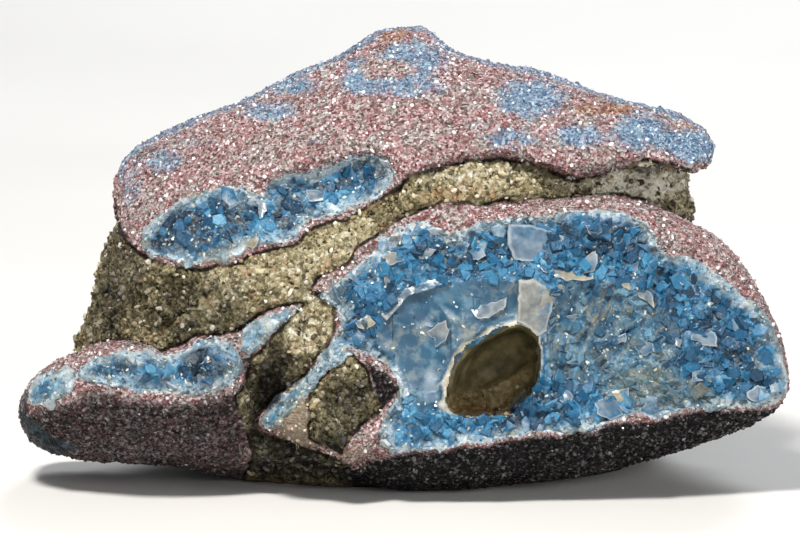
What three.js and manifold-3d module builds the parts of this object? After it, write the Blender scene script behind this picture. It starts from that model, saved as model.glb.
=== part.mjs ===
// A blue agate in its matrix rock: one broken hand specimen, 92 mm across.
// A sheet of agate lies over the rock like a roof, two lobes of agate swell from its foot, and a thin
// vein and a rim of agate run between them. Where the lobes are broken their blue inside shows, and the
// largest one has a hollow. It all grew together, so it is one solid.
//
// Millimetres. The finished stone has +Z up and rests on its flat base at z = 0, with the origin under
// the middle of its box. Its broken faces look along -Y.
// The forms are first laid out in a front view that looks down on the stone a little. There a point is
// [across, up], and its depth is counted away from the viewer, with 0 in the middle of the stone.

import * as THREE from "three";
import { mergeVertices } from "three/addons/utils/BufferGeometryUtils.js";
import Module from "manifold-3d";

const wasm = await Module();
wasm.setup();

// How far the front view looks down on the stone, in radians.
const LOOKS_DOWN = THREE.MathUtils.degToRad(10);
// Height in the upright stone, before it is set on z = 0, where its foot is broken off flat.
const BASE_HEIGHT = 1.4;
// Vertices closer than this are one.
const WELD = 1e-3;
// Steps taken along an outline when its length is measured.
const OUTLINE_STEPS = 400;

// The natural unevenness of each kind of surface: coarse and fine are the sizes of its swells, and
// fineShare is how high the fine ones are beside the coarse ones.
const SKIN_LUMPS = { coarse: 15, fine: 6.3, fineShare: 0.5 };
const BREAK_LUMPS = { coarse: 17, fine: 8.5, fineShare: 0.6 };
// How much of its lumps a form keeps along its own outline, where it was measured.
const LUMPS_AT_OUTLINE = 0.25;
// A bite is the bottom of a ball this many times as deep as the bite. Its edge waves by a share of its
// size, and its floor by a share of its depth.
const BITE_BULGE = 3;
const BITE_EDGE = { size: 6, share: 0.1 };
const BITE_FLOOR = { size: 5, share: 0.12 };

// Forms that swell to the front and the back of an outline. front and back are how far they swell,
// squareness is 2 for a round section and more for a boxier one, and depth is where the outline lies.
// ball is the unit ball that is shaped into the form.
const MATRIX = {
  outline: [
    [-33.4, 34.0], [-35.0, 30.0], [-36.6, 26.4], [-37.4, 22.8], [-38.2, 19.2], [-39.0, 15.4], [-36.0, 7.0],
    [-30.0, 2.5], [-18.0, 1.2], [-7.0, -0.3], [8.0, -0.3], [24.0, 1.5], [35.0, 5.5], [40.0, 12.0],
    [39.0, 22.0], [36.2, 29.6], [35.0, 33.6], [34.6, 37.2], [32.6, 41.5], [24.0, 44.8], [10.0, 48.6],
    [1.5, 52.0], [-6.5, 49.6], [-20.0, 43.6], [-30.0, 38.6],
  ],
  centre: [0, 24],
  front: 24.4,
  back: 23,
  squareness: 3.8,
  depth: (across, up) => {
    const underHang = 0.02 * Math.max(0, 12 - up) ** 2;
    const overHang = 0.2 * Math.max(0, up - 38);
    return 4 + 0.006 * (across + 8) ** 2 + underHang + overHang;
  },
  ball: new THREE.IcosahedronGeometry(1, 8),
  lumps: 0.8,
};

// The height at which the roof starts to climb away from its front lip, and how steeply it does.
const roofLip = (across) => 39 - 0.0056 * Math.max(0, 14 - across) ** 2;
const ROOF_CLIMB = 1.1;

const ROOF = {
  outline: [
    [-30.8, 27.4], [-33.6, 29.4], [-34.6, 33.0], [-34.2, 38.6], [-31.6, 41.4], [-24.2, 45.0], [-19.0, 46.7],
    [-13.4, 49.8], [-7.6, 52.1], [-2.7, 55.2], [0.2, 55.9], [2.8, 55.7], [5.6, 53.1], [9.4, 51.7],
    [17.8, 49.8], [26.2, 46.8], [33.4, 45.0], [36.5, 43.0], [37.4, 40.8], [35.8, 38.0], [32.0, 38.5],
    [28.6, 38.8], [24.6, 38.0], [21.0, 37.3], [15.6, 39.2], [11.4, 39.8], [5.4, 39.0], [0.0, 36.4],
    [-5.0, 34.0], [-7.6, 32.8], [-11.4, 31.2], [-16.4, 28.6], [-20.0, 27.0], [-25.6, 26.4],
  ],
  centre: [6, 46.5],
  front: 6,
  back: 8,
  squareness: 3.1,
  depth: (across, up) => {
    const foot = -17 + 0.004 * (across + 4) ** 2;
    return foot + ROOF_CLIMB * Math.max(0, up - roofLip(across));
  },
  ball: new THREE.SphereGeometry(1, 68, 14),
  lumps: 0.55,
};

// What lies above the middle of the roof sheet, and so is never rock.
const ABOVE_THE_ROOF = { ...ROOF, front: 60, back: 2, squareness: 6, lumps: 0 };

const LARGE_LOBE = {
  outline: [
    [-8.4, 24.4], [-6.2, 27.0], [-2.4, 30.2], [2.2, 32.8], [8.4, 34.0], [15.6, 35.0], [22.8, 35.6],
    [27.6, 34.8], [33.6, 32.4], [38.4, 29.8], [42.0, 24.8], [44.9, 19.2], [46.1, 14.4], [45.9, 11.4],
    [42.9, 8.8], [37.5, 6.2], [28.8, 3.6], [19.2, 1.5], [8.4, 0.2], [0.0, 0.0], [-4.8, 1.4], [-5.0, 4.4],
    [-3.0, 7.2], [-0.8, 10.4], [-1.8, 14.0], [-5.4, 16.6], [-8.6, 18.4], [-9.4, 21.4],
  ],
  centre: [16, 17],
  front: 12,
  back: 19,
  squareness: 3.3,
  depth: (across, up) => -12.6 + 0.1 * Math.max(0, across - 20) + Math.max(0, 7.2 + 0.1 * across - up),
  ball: new THREE.SphereGeometry(1, 58, 14),
  lumps: 0.5,
};

const LEFT_LOBE = {
  outline: [
    [-45.4, 11.4], [-44.2, 13.4], [-42.0, 15.2], [-38.6, 16.6], [-35.4, 17.4], [-31.2, 17.9], [-28.6, 16.8],
    [-25.4, 17.0], [-21.4, 18.8], [-18.8, 17.2], [-18.0, 14.0], [-17.4, 11.0], [-16.6, 6.8], [-16.8, 2.6],
    [-24.0, 2.4], [-29.6, 3.3], [-38.6, 3.9], [-43.4, 5.1], [-45.1, 6.9], [-46.0, 9.4],
  ],
  centre: [-30, 10],
  front: 12,
  back: 13,
  squareness: 3.2,
  depth: (across, up) => -11.2 + 0.25 * Math.max(0, -34 - across) + 0.9 * Math.max(0, 12.6 - up),
  ball: new THREE.SphereGeometry(1, 42, 12),
  lumps: 0.45,
};

// A knob of matrix with a rim of agate grown round it, between the two lobes.
const RIM = {
  outline: [
    [-7.4, 18.4], [-9.8, 16.4], [-12.0, 13.3], [-14.0, 11.2], [-17.2, 8.0], [-14.0, 6.6], [-10.8, 5.0],
    [-7.4, 3.2], [-4.0, 4.5], [-0.6, 7.6], [-0.2, 11.0], [-2.2, 14.6], [-4.8, 17.6],
  ],
  centre: [-7.5, 10.5],
  front: 6,
  back: 8,
  squareness: 3.2,
  depth: () => -16.4,
  ball: new THREE.SphereGeometry(1, 28, 8),
  lumps: 0.3,
};

const KNOB = {
  outline: [
    [-6.2, 16.4], [-3.4, 14.5], [-2.2, 11.5], [-1.2, 10.2], [-3.6, 7.2], [-7.2, 3.8], [-10.2, 5.8],
    [-11.6, 9.0], [-10.4, 12.2], [-8.4, 14.8],
  ],
  centre: [-6.6, 10.2],
  front: 6.5,
  back: 6,
  squareness: 2.8,
  depth: () => -17,
  ball: new THREE.IcosahedronGeometry(1, 4),
  lumps: 0.8,
};

const VEIN = {
  outline: [
    [-19.8, 16.6], [-17.6, 20.2], [-14.6, 22.3], [-11.4, 23.4], [-11.2, 21.8], [-13.6, 19.6], [-16.0, 16.8],
    [-18.0, 14.8],
  ],
  centre: [-16, 18.8],
  front: 4.0,
  back: 6,
  squareness: 2.6,
  depth: () => -17.4,
  ball: new THREE.SphereGeometry(1, 22, 8),
  lumps: 0.2,
};

// Broken faces. Each takes away what lies in front of a shallow dish that fills its outline: depth is
// where the dish's edge lies, and back is how much deeper its middle is.
const TO_THE_VIEWER = 40;

const ROOF_BREAK = {
  outline: [
    [-31.2, 29.8], [-29.0, 33.2], [-25.4, 35.6], [-20.4, 36.8], [-14.0, 37.8], [-8.0, 39.4], [-3.8, 40.4],
    [-1.0, 39.4], [-0.6, 37.2], [-3.6, 34.0], [-10.2, 30.2], [-18.6, 26.4], [-27.6, 25.6],
  ],
  centre: [-16, 32],
  front: TO_THE_VIEWER,
  back: 2.4,
  squareness: 4,
  depth: (across, up) => -20.8 + 0.5 * Math.max(0, up - 31 - 0.2 * (across + 16)),
  ball: new THREE.IcosahedronGeometry(1, 7),
  lumps: 0.35,
};

const LARGE_BREAK = {
  outline: [
    [-11.4, 25.0], [-8.4, 28.2], [-4.6, 31.4], [-0.6, 33.4], [3.0, 32.6], [6.6, 31.0], [12.0, 31.8],
    [20.4, 33.4], [24.0, 33.2], [30.6, 30.2], [37.2, 27.0], [40.6, 24.4], [43.2, 20.6], [46.2, 17.0],
    [50.0, 12.0], [46.0, 9.0], [36.0, 8.0], [30.0, 7.0], [24.0, 6.0], [14.4, 4.2], [6.0, 3.2], [-3.0, 2.4], [-7.0, 7.0],
    [-12.0, 16.0],
  ],
  centre: [16, 18],
  front: TO_THE_VIEWER,
  back: 1.4,
  squareness: 5,
  depth: (across) => -22 + 0.22 * Math.max(0, across - 26),
  ball: new THREE.IcosahedronGeometry(1, 8),
  lumps: 0.5,
};

const LEFT_BREAK = {
  outline: [
    [-47.5, 13.0], [-43.6, 14.3], [-40.8, 15.2], [-37.8, 16.2], [-31.2, 16.8], [-27.6, 16.0], [-24.0, 17.0],
    [-20.6, 17.6], [-18.6, 15.8], [-18.8, 12.4], [-20.4, 10.8], [-24.0, 10.3], [-32.4, 10.9], [-35.6, 11.0],
    [-39.0, 10.2], [-45.0, 9.2],
  ],
  centre: [-31, 13.8],
  front: TO_THE_VIEWER,
  back: 1.2,
  squareness: 4,
  depth: (across) => -22 + 0.4 * Math.max(0, -33 - across),
  ball: new THREE.IcosahedronGeometry(1, 6),
  lumps: 0.4,
};

// The hollow, whose mouth is the outline, and which runs back into the lobe.
const HOLLOW = {
  outline: [
    [5.9, 12.6], [5.3, 10.3], [6.3, 9.2], [8.4, 8.9], [10.8, 8.7], [13.2, 9.1], [15.0, 10.6], [16.0, 12.8],
    [16.4, 16.8], [15.6, 18.5], [13.9, 19.7], [12.0, 19.1], [9.6, 17.9], [7.8, 16.6], [6.6, 14.8],
  ],
  centre: [11, 14],
  front: 14,
  back: 9,
  squareness: 3.2,
  depth: () => -17,
  ball: new THREE.IcosahedronGeometry(1, 5),
  lumps: 0.25,
};

// Bites are shell-shaped scoops: [across, depth, up] of the middle, the half sizes across and up, how far
// each is turned in the front view in degrees, and how deep it bites. These are in the large broken face.
const FACE_BITES = [
  { at: [2.2, -21.4, 17.2], half: [8.4, 10.0], turned: 18, bite: 2.0 },
  { at: [2.6, -21.8, 28.0], half: [9.6, 5.4], turned: 30, bite: 1.5 },
  { at: [13.6, -21.6, 29.4], half: [9.0, 5.0], turned: -4, bite: 1.6 },
  { at: [12.0, -21.4, 22.2], half: [8.2, 4.6], turned: 34, bite: 1.7 },
  { at: [25.0, -21.2, 17.6], half: [12.4, 8.8], turned: -6, bite: 3.2 },
  { at: [27.2, -21.2, 28.4], half: [11.4, 5.4], turned: -18, bite: 1.9 },
  { at: [38.0, -19.4, 21.4], half: [10.4, 7.0], turned: -38, bite: 2.2 },
  { at: [40.6, -18.6, 13.0], half: [8.4, 5.2], turned: -6, bite: 1.9 },
  { at: [30.6, -20.8, 11.4], half: [10.0, 4.4], turned: 4, bite: 1.5 },
  { at: [19.4, -21.6, 8.4], half: [7.6, 4.2], turned: -14, bite: 1.6 },
  { at: [3.6, -21.8, 6.8], half: [9.8, 4.2], turned: -8, bite: 1.3 },
];

// Bites in the rock, before the agate is round it.
const ROCK_BITES = [
  { at: [-16.4, -17.8, 8.4], half: [6.4, 9.4], turned: 14, bite: 4.2 },
  { at: [-8.8, -20.6, 18.6], half: [4.6, 6.6], turned: 30, bite: 1.6 },
  { at: [-9.4, -16.8, 2.8], half: [10.4, 5.0], turned: -10, bite: 4.6 },
  { at: [-34.0, -17.6, 29.2], half: [6.4, 3.8], turned: 46, bite: 1.8 },
  { at: [-22.4, -20.6, 26.0], half: [9.2, 3.2], turned: 8, bite: 1.3 },
  { at: [24.0, -20.2, 36.8], half: [8.6, 3.0], turned: -6, bite: 1.3 },
];

// Faces broken off the rock: which way each looks, and a point it passes through, both as [across, depth,
// up].
const ROCK_BREAKS = [
  { looks: [-0.62, 0.78, 0.08], through: [-22, 21, 26] },
  { looks: [0.55, 0.8, 0.24], through: [18, 23, 26] },
  { looks: [0.12, 0.55, -0.83], through: [2, 18, 5] },
  { looks: [-0.45, 0.3, -0.84], through: [-24, 6, 6.4] },
  { looks: [0.62, 0.1, -0.78], through: [31, 4, 6] },
  { looks: [-0.7, -0.68, 0.2], through: [-33.5, -14.5, 22] },
  { looks: [-0.28, -0.88, -0.38], through: [-25, -19.6, 22] },
  { looks: [0.1, -0.93, 0.36], through: [8, -20.2, 35] },
  { looks: [0.8, -0.6, 0.1], through: [33.6, -12, 34] },
];

// The face broken across the rock and the roof's sheet together, behind the top.
const TOP_BREAK = { looks: [-0.08, 0.85, 0.52], through: [1, 5.4, 54.6] };
const SLAB = { side: 84, thick: 60, step: 5.6, lumps: 0.9 };

// A smooth, irregular height between -1 and 1 over space, which repeats nowhere in the stone.
function swells(x, y, z, size) {
  const turn = (2 * Math.PI) / size;
  return (
    (Math.sin(turn * (0.83 * x + 0.41 * y + 0.37 * z) + 1.3) +
      Math.sin(turn * (-0.47 * x + 0.76 * y - 0.52 * z) + 4.1) +
      Math.sin(turn * (0.29 * x - 0.58 * y + 0.91 * z) + 2.6)) /
    3
  );
}

// How high a surface with such lumps lies at a place, before it is scaled.
const lumpy = (x, y, z, { coarse, fine, fineShare }) => swells(x, y, z, coarse) + fineShare * swells(z, x, y, fine);

// The arm from a centre to a closed smooth outline, as a function of a turn from 0 to 1 round it.
function armRound(outline, [across, up]) {
  const runsBack = THREE.ShapeUtils.area(outline.map(([x, y]) => new THREE.Vector2(x, y))) < 0;
  const corners = outline.map(([x, y]) => new THREE.Vector3(x - across, y - up, 0));
  const curve = new THREE.CatmullRomCurve3(runsBack ? corners.reverse() : corners, true, "centripetal");
  curve.arcLengthDivisions = OUTLINE_STEPS;
  return (turn) => curve.getPointAt(turn - Math.floor(turn));
}

// A closed geometry with one vertex at each place, and nothing but its shape.
function welded(geometry) {
  const bare = new THREE.BufferGeometry().setAttribute("position", geometry.getAttribute("position"));
  return mergeVertices(geometry.index ? bare.setIndex(geometry.index) : bare, WELD);
}

// A manifold solid made from a closed geometry.
function solidFrom(geometry) {
  const merged = welded(geometry);
  return new wasm.Manifold(
    new wasm.Mesh({
      numProp: 3,
      vertProperties: merged.attributes.position.array,
      triVerts: new Uint32Array(merged.index.array),
    }),
  );
}

// One swelling form, as a solid in the front view's frame.
function swellingForm({ outline, centre, front, back, squareness, depth, ball, lumps }) {
  const geometry = welded(ball);
  const position = geometry.getAttribute("position");
  const armAt = armRound(outline, centre);
  const way = new THREE.Vector3();
  for (let i = 0; i < position.count; i++) {
    way.fromBufferAttribute(position, i);
    const flat = Math.hypot(way.x, way.z);
    const onto = (flat ** squareness + Math.abs(way.y) ** squareness) ** (-1 / squareness);
    const arm = armAt(Math.atan2(way.z, way.x) / (2 * Math.PI));
    const x = centre[0] + arm.x * flat * onto;
    const z = centre[1] + arm.y * flat * onto;
    const y = depth(x, z) + way.y * onto * (way.y < 0 ? front : back);
    const kept = LUMPS_AT_OUTLINE + (1 - LUMPS_AT_OUTLINE) * Math.abs(way.y);
    const lift = lumps * kept * lumpy(x, y, z, SKIN_LUMPS);
    arm.normalize().multiplyScalar(flat * lift);
    position.setXYZ(i, x + arm.x, y + way.y * lift, z + arm.y);
  }
  return solidFrom(geometry);
}

// A bite, as the bottom of a flattened lumpy ball.
function bittenBy({ at, half, turned, bite }) {
  const bulge = BITE_BULGE * bite;
  const share = Math.sqrt(1 - (1 - bite / bulge) ** 2);
  const geometry = new THREE.IcosahedronGeometry(1, 4);
  geometry.scale(half[0] / share, bulge, half[1] / share);
  geometry.rotateY(THREE.MathUtils.degToRad(-turned));
  const position = geometry.getAttribute("position");
  for (let i = 0; i < position.count; i++) {
    const [x, y, z] = [position.getX(i), position.getY(i), position.getZ(i)];
    const lift = 1 + BITE_EDGE.share * swells(x + at[0], y, z + at[2], BITE_EDGE.size);
    const wave = BITE_FLOOR.share * bite * swells(x, z, at[0], BITE_FLOOR.size);
    position.setXYZ(i, x * lift, y + wave, z * lift);
  }
  geometry.translate(at[0], at[1] - bulge + bite, at[2]);
  return solidFrom(geometry);
}

// A slab that takes away everything past a lumpy broken face.
function slabPast({ looks, through }) {
  const { side, thick, step, lumps } = SLAB;
  const cells = Math.round(side / step);
  const geometry = new THREE.BoxGeometry(side, side, thick, cells, cells, 1);
  geometry.translate(0, 0, thick / 2);
  const position = geometry.getAttribute("position");
  for (let i = 0; i < position.count; i++) {
    if (position.getZ(i) > WELD) continue;
    const [x, y] = [position.getX(i), position.getY(i)];
    const coarse = swells(x, y, through[0], BREAK_LUMPS.coarse);
    const fine = swells(y, x, through[1], BREAK_LUMPS.fine);
    position.setZ(i, lumps * (coarse + BREAK_LUMPS.fineShare * fine));
  }
  const normal = new THREE.Vector3(...looks).normalize();
  geometry.applyQuaternion(new THREE.Quaternion().setFromUnitVectors(new THREE.Vector3(0, 0, 1), normal));
  geometry.translate(...through);
  return solidFrom(geometry);
}

// The whole stone in the front view's frame.
function wholeStone() {
  const without = (solid, makers) => makers.reduce((left, make) => left.subtract(make()), solid);
  const rock = without(swellingForm(MATRIX), [
    () => swellingForm(ABOVE_THE_ROOF),
    ...ROCK_BITES.map((bite) => () => bittenBy(bite)),
    ...ROCK_BREAKS.map((face) => () => slabPast(face)),
  ]);
  const grown = [ROOF, LEFT_LOBE, LARGE_LOBE, VEIN, RIM, KNOB].reduce(
    (solid, form) => solid.add(swellingForm(form)),
    rock,
  );
  return without(grown, [
    ...[ROOF_BREAK, LEFT_BREAK, LARGE_BREAK, HOLLOW].map((form) => () => swellingForm(form)),
    ...FACE_BITES.map((bite) => () => bittenBy(bite)),
    () => slabPast(TOP_BREAK),
  ]);
}

// A solid as a geometry.
function geometryFrom(solid) {
  const mesh = solid.getMesh();
  return new THREE.BufferGeometry()
    .setAttribute("position", new THREE.BufferAttribute(new Float32Array(mesh.vertProperties), 3))
    .setIndex(new THREE.BufferAttribute(new Uint32Array(mesh.triVerts), 1));
}

// The stone turned upright, broken off flat at its foot and set on z = 0 with the origin under its middle.
function standingGeometry() {
  const upright = geometryFrom(wholeStone()).rotateX(-LOOKS_DOWN);
  const ground = new THREE.BoxGeometry(2 * SLAB.side, 2 * SLAB.side, SLAB.thick);
  ground.translate(0, 0, BASE_HEIGHT - SLAB.thick / 2);
  const standing = geometryFrom(solidFrom(upright).subtract(solidFrom(ground)));
  standing.computeBoundingBox();
  const { min, max } = standing.boundingBox;
  standing.translate(-(min.x + max.x) / 2, -(min.y + max.y) / 2, -min.z);
  standing.computeVertexNormals();
  return standing;
}

const stone = new THREE.Mesh(
  standingGeometry(),
  new THREE.MeshStandardMaterial({ color: 0x5f7f9c, roughness: 0.55, metalness: 0 }),
);
stone.name = "agate_stone";

const specimen = new THREE.Group();
specimen.add(stone);

export default specimen;
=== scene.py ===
"""The looks of a blue agate in its matrix rock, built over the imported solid."""
import math

import bmesh
import bpy
import numpy as np
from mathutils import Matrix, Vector
from mathutils.bvhtree import BVHTree


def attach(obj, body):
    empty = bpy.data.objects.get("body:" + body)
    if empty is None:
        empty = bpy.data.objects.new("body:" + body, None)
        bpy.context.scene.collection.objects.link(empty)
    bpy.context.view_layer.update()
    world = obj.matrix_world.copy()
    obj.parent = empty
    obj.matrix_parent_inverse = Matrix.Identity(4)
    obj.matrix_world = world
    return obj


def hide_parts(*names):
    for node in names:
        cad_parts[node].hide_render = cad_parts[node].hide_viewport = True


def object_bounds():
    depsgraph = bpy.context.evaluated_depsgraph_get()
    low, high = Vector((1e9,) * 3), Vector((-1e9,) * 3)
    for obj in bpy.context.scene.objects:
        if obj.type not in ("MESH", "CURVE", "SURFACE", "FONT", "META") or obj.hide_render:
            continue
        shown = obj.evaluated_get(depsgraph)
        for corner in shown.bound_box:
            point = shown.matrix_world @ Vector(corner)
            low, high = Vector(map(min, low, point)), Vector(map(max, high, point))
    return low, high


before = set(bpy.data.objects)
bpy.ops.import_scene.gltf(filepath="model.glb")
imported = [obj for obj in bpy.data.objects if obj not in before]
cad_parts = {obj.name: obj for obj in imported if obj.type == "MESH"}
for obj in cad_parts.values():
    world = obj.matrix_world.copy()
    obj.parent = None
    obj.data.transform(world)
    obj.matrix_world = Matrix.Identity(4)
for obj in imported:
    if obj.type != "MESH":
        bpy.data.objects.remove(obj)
CAD_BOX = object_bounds()

bl_info = {
    "name": "Blue agate specimen",
    "version": (1, 0, 0),
    "blender": (4, 5, 0),
    "location": "3D View > Sidebar > Agate",
    "description": "A broken agate in its matrix rock, with rind, flakes and rock grains",
    "category": "Add Mesh",
}

NODE = "agate_stone"
MM = 0.001
MOST_TRIANGLES = 200000
# Further away than anything in the stone.
FAR = 1e9

# The stone is described in a front view that looks down on it by this much. A point there is
# (across, deep, up) in millimetres, and FRONT_ORIGIN is where its zero lies in the upright frame.
LOOKS_DOWN = math.radians(10)
FRONT_ORIGIN = (-0.093, -5.219, -1.4)

# Outlines of the sheets of agate inside the stone, across and up in the front view.
ROOF_SHEET = (
    (-30.8, 27.4), (-33.6, 29.4), (-34.6, 33.0), (-34.2, 38.6), (-31.6, 41.4), (-24.2, 45.0),
    (-19.0, 46.7), (-13.4, 49.8), (-7.6, 52.1), (-2.7, 55.2), (0.2, 55.9), (2.8, 55.7), (5.6, 53.1),
    (9.4, 51.7), (17.8, 49.8), (26.2, 46.8), (33.4, 45.0), (36.5, 43.0), (37.4, 40.8), (35.8, 38.0),
    (32.0, 38.5), (28.6, 38.8), (24.6, 38.0), (21.0, 37.3), (15.6, 39.2), (11.4, 39.8), (5.4, 39.0),
    (0.0, 36.4), (-5.0, 34.0), (-7.6, 32.8), (-11.4, 31.2), (-16.4, 28.6), (-20.0, 27.0), (-25.6, 26.4),
)
LARGE_LOBE = (
    (-8.4, 24.4), (-6.2, 27.0), (-2.4, 30.2), (2.2, 32.8), (8.4, 34.0), (15.6, 35.0), (22.8, 35.6),
    (27.6, 34.8), (33.6, 32.4), (38.4, 29.8), (42.0, 24.8), (44.9, 19.2), (46.1, 14.4), (45.9, 11.4),
    (42.9, 8.8), (37.5, 6.2), (28.8, 3.6), (19.2, 1.5), (8.4, 0.2), (0.0, 0.0), (-4.8, 1.4), (-5.0, 4.4),
    (-3.0, 7.2), (-0.8, 10.4), (-1.8, 14.0), (-5.4, 16.6), (-8.6, 18.4), (-9.4, 21.4),
)
LEFT_LOBE = (
    (-45.4, 11.4), (-44.2, 13.4), (-42.0, 15.2), (-38.6, 16.6), (-35.4, 17.4), (-31.2, 17.9),
    (-28.6, 16.8), (-25.4, 17.0), (-21.4, 18.8), (-18.8, 17.2), (-18.0, 14.0), (-17.4, 11.0),
    (-16.6, 6.8), (-16.8, 2.6), (-24.0, 2.4), (-29.6, 3.3), (-38.6, 3.9), (-43.4, 5.1), (-45.1, 6.9),
    (-46.0, 9.4),
)

# Seen from the front: where the sheets and lobes lie with their rind (SHOWS), where they are broken
# open to the blue inside (BLUE), and what lies in the blue.
ROOF_SHOWS = (
    (-36.3, 63.6), (-36.3, 42.0), (-35.3, 39.0), (-34.6, 34.8), (-33.9, 31.8), (-32.6, 29.6),
    (-31.3, 28.4), (-29.3, 27.2), (-26.3, 26.6), (-23.8, 26.5), (-20.9, 26.9), (-19.4, 27.5),
    (-18.1, 28.4), (-15.3, 28.9), (-12.7, 29.4), (-11.8, 31.0), (-9.8, 31.8), (-6.1, 32.8),
    (-3.1, 34.6), (-0.8, 36.1), (1.3, 37.6), (5.6, 38.9), (8.1, 39.5), (11.6, 39.7), (16.0, 39.1),
    (18.4, 38.0), (20.7, 37.1), (22.7, 37.6), (24.9, 38.3), (26.9, 39.1), (29.0, 39.6), (31.7, 39.1),
    (33.8, 38.4), (35.7, 37.9), (37.6, 38.6), (39.9, 40.8), (39.9, 63.6),
)
LARGE_SHOWS = (
    (-10.7, 23.8), (-10.0, 25.2), (-8.6, 26.0), (-6.4, 27.0), (-5.0, 29.2), (-2.0, 31.1), (-0.3, 32.5),
    (2.3, 33.5), (4.5, 34.2), (6.9, 34.3), (9.7, 34.2), (13.1, 34.6), (16.5, 34.9), (21.7, 35.3),
    (25.5, 35.6), (28.5, 34.9), (31.5, 33.7), (35.3, 31.9), (38.0, 30.2), (41.1, 28.2), (43.5, 24.6),
    (45.9, 20.4), (47.7, 16.8), (48.9, 10.8), (48.9, -6.0), (-6.1, -6.0), (-5.6, 0.0), (-6.3, 2.9),
    (-7.9, 3.8), (-11.0, 5.0), (-14.1, 6.2), (-17.5, 7.8), (-16.9, 9.4), (-15.8, 10.8), (-13.9, 12.2),
    (-11.7, 13.9), (-10.1, 15.8), (-8.9, 17.5), (-8.2, 19.2), (-7.9, 20.9), (-8.2, 22.7),
)
LEFT_SHOWS = (
    (-45.9, 13.0), (-44.5, 13.3), (-42.4, 15.4), (-39.3, 16.3), (-36.8, 17.8), (-33.7, 18.2),
    (-31.4, 17.6), (-28.6, 16.8), (-26.7, 17.4), (-24.5, 18.6), (-21.9, 18.8), (-19.7, 19.1),
    (-18.8, 18.5), (-18.8, 16.4), (-18.3, 14.9), (-18.8, 13.0), (-20.0, 11.6), (-19.5, 9.8),
    (-18.9, 7.3), (-17.9, 4.6), (-18.9, 2.0), (-18.9, -6.0), (-49.5, -6.0), (-49.5, 12.7),
)
VEIN_SHOWS = (
    (-19.5, 19.2), (-18.2, 20.5), (-15.8, 21.5), (-13.5, 22.3), (-11.8, 22.3), (-13.4, 20.4),
    (-15.3, 18.7), (-16.6, 17.0), (-18.3, 15.8), (-19.5, 16.6),
)
KNOB_SHOWS = (
    (-5.9, 16.4), (-4.9, 15.4), (-4.1, 14.3), (-3.8, 13.0), (-3.2, 11.8), (-1.9, 10.4), (-3.1, 9.1),
    (-4.4, 8.2), (-5.6, 7.1), (-6.4, 5.9), (-7.3, 4.6), (-9.2, 5.5), (-11.0, 6.4), (-11.2, 7.9),
    (-10.9, 9.2), (-11.6, 10.7), (-10.9, 12.0), (-10.0, 13.1), (-9.1, 14.2), (-8.1, 15.0),
    (-7.0, 16.0),
)
ROOF_BLUE = (
    (-30.9, 31.0), (-28.7, 32.9), (-26.0, 34.9), (-23.2, 35.9), (-20.5, 36.5), (-18.3, 35.6),
    (-16.5, 35.3), (-16.3, 36.5), (-13.7, 37.7), (-10.7, 38.3), (-7.6, 39.2), (-4.6, 40.1),
    (-3.1, 40.2), (-1.9, 39.4), (-1.0, 38.0), (-1.1, 36.7), (-3.1, 35.0), (-5.5, 34.2), (-8.0, 33.0),
    (-11.6, 32.2), (-12.8, 30.4), (-15.3, 29.6), (-18.3, 29.2), (-20.0, 28.0), (-21.4, 27.5),
    (-24.4, 27.1), (-27.5, 27.5), (-29.9, 28.1), (-31.0, 29.4),
)
LARGE_BLUE = (
    (-9.5, 23.3), (-7.7, 24.8), (-5.1, 27.1), (-2.9, 28.9), (-1.5, 30.4), (0.8, 31.8), (2.9, 32.3),
    (4.0, 31.2), (5.9, 30.5), (7.7, 31.2), (8.8, 31.9), (12.2, 32.3), (13.6, 32.7), (18.1, 32.9),
    (20.2, 33.5), (23.1, 33.6), (26.1, 33.2), (28.6, 32.3), (29.8, 30.5), (30.2, 29.0), (31.6, 28.0),
    (33.4, 28.1), (35.6, 27.2), (37.1, 26.0), (38.9, 24.6), (40.4, 23.2), (41.9, 22.4), (43.0, 20.9),
    (44.1, 19.1), (45.0, 16.9), (45.7, 14.0), (45.5, 11.9), (44.6, 10.6), (41.5, 10.2), (37.9, 10.0),
    (34.1, 9.8), (31.6, 9.2), (29.8, 8.9), (27.9, 9.5), (26.1, 9.0), (24.7, 8.4), (22.4, 7.6),
    (20.6, 7.2), (18.0, 7.3), (15.8, 7.1), (14.0, 6.7), (10.6, 6.2), (7.7, 5.9), (5.5, 5.3),
    (2.9, 5.2), (0.4, 5.0), (-1.1, 4.4), (-2.0, 5.9), (-2.6, 7.3), (-2.0, 9.2), (-0.9, 10.4),
    (0.1, 12.0), (-0.3, 13.2), (-1.7, 14.9), (-3.2, 16.1), (-4.7, 16.8), (-5.8, 17.3), (-7.5, 16.6),
    (-8.5, 16.0), (-9.7, 16.0), (-8.3, 17.8), (-7.7, 19.2), (-7.4, 20.9), (-8.0, 22.4),
)
RIM_BLUE = (
    (-6.7, 17.0), (-9.2, 15.7), (-11.0, 14.0), (-13.5, 12.2), (-15.4, 10.8), (-16.4, 9.2),
    (-16.9, 8.2), (-15.9, 7.7), (-14.2, 8.4), (-13.1, 10.1), (-11.7, 11.3), (-10.3, 13.2),
    (-8.2, 15.1), (-6.1, 16.4),
)
LEFT_BLUE = (
    (-38.0, 14.9), (-36.1, 16.1), (-33.0, 16.7), (-30.5, 16.8), (-28.3, 16.1), (-25.7, 17.0),
    (-24.2, 17.9), (-22.0, 18.2), (-20.5, 17.7), (-19.5, 16.4), (-19.1, 14.9), (-19.8, 13.3),
    (-21.4, 12.4), (-23.9, 11.8), (-26.7, 11.6), (-29.6, 11.9), (-33.0, 12.4), (-35.2, 12.7),
    (-37.7, 13.2), (-38.6, 13.9),
)
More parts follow.
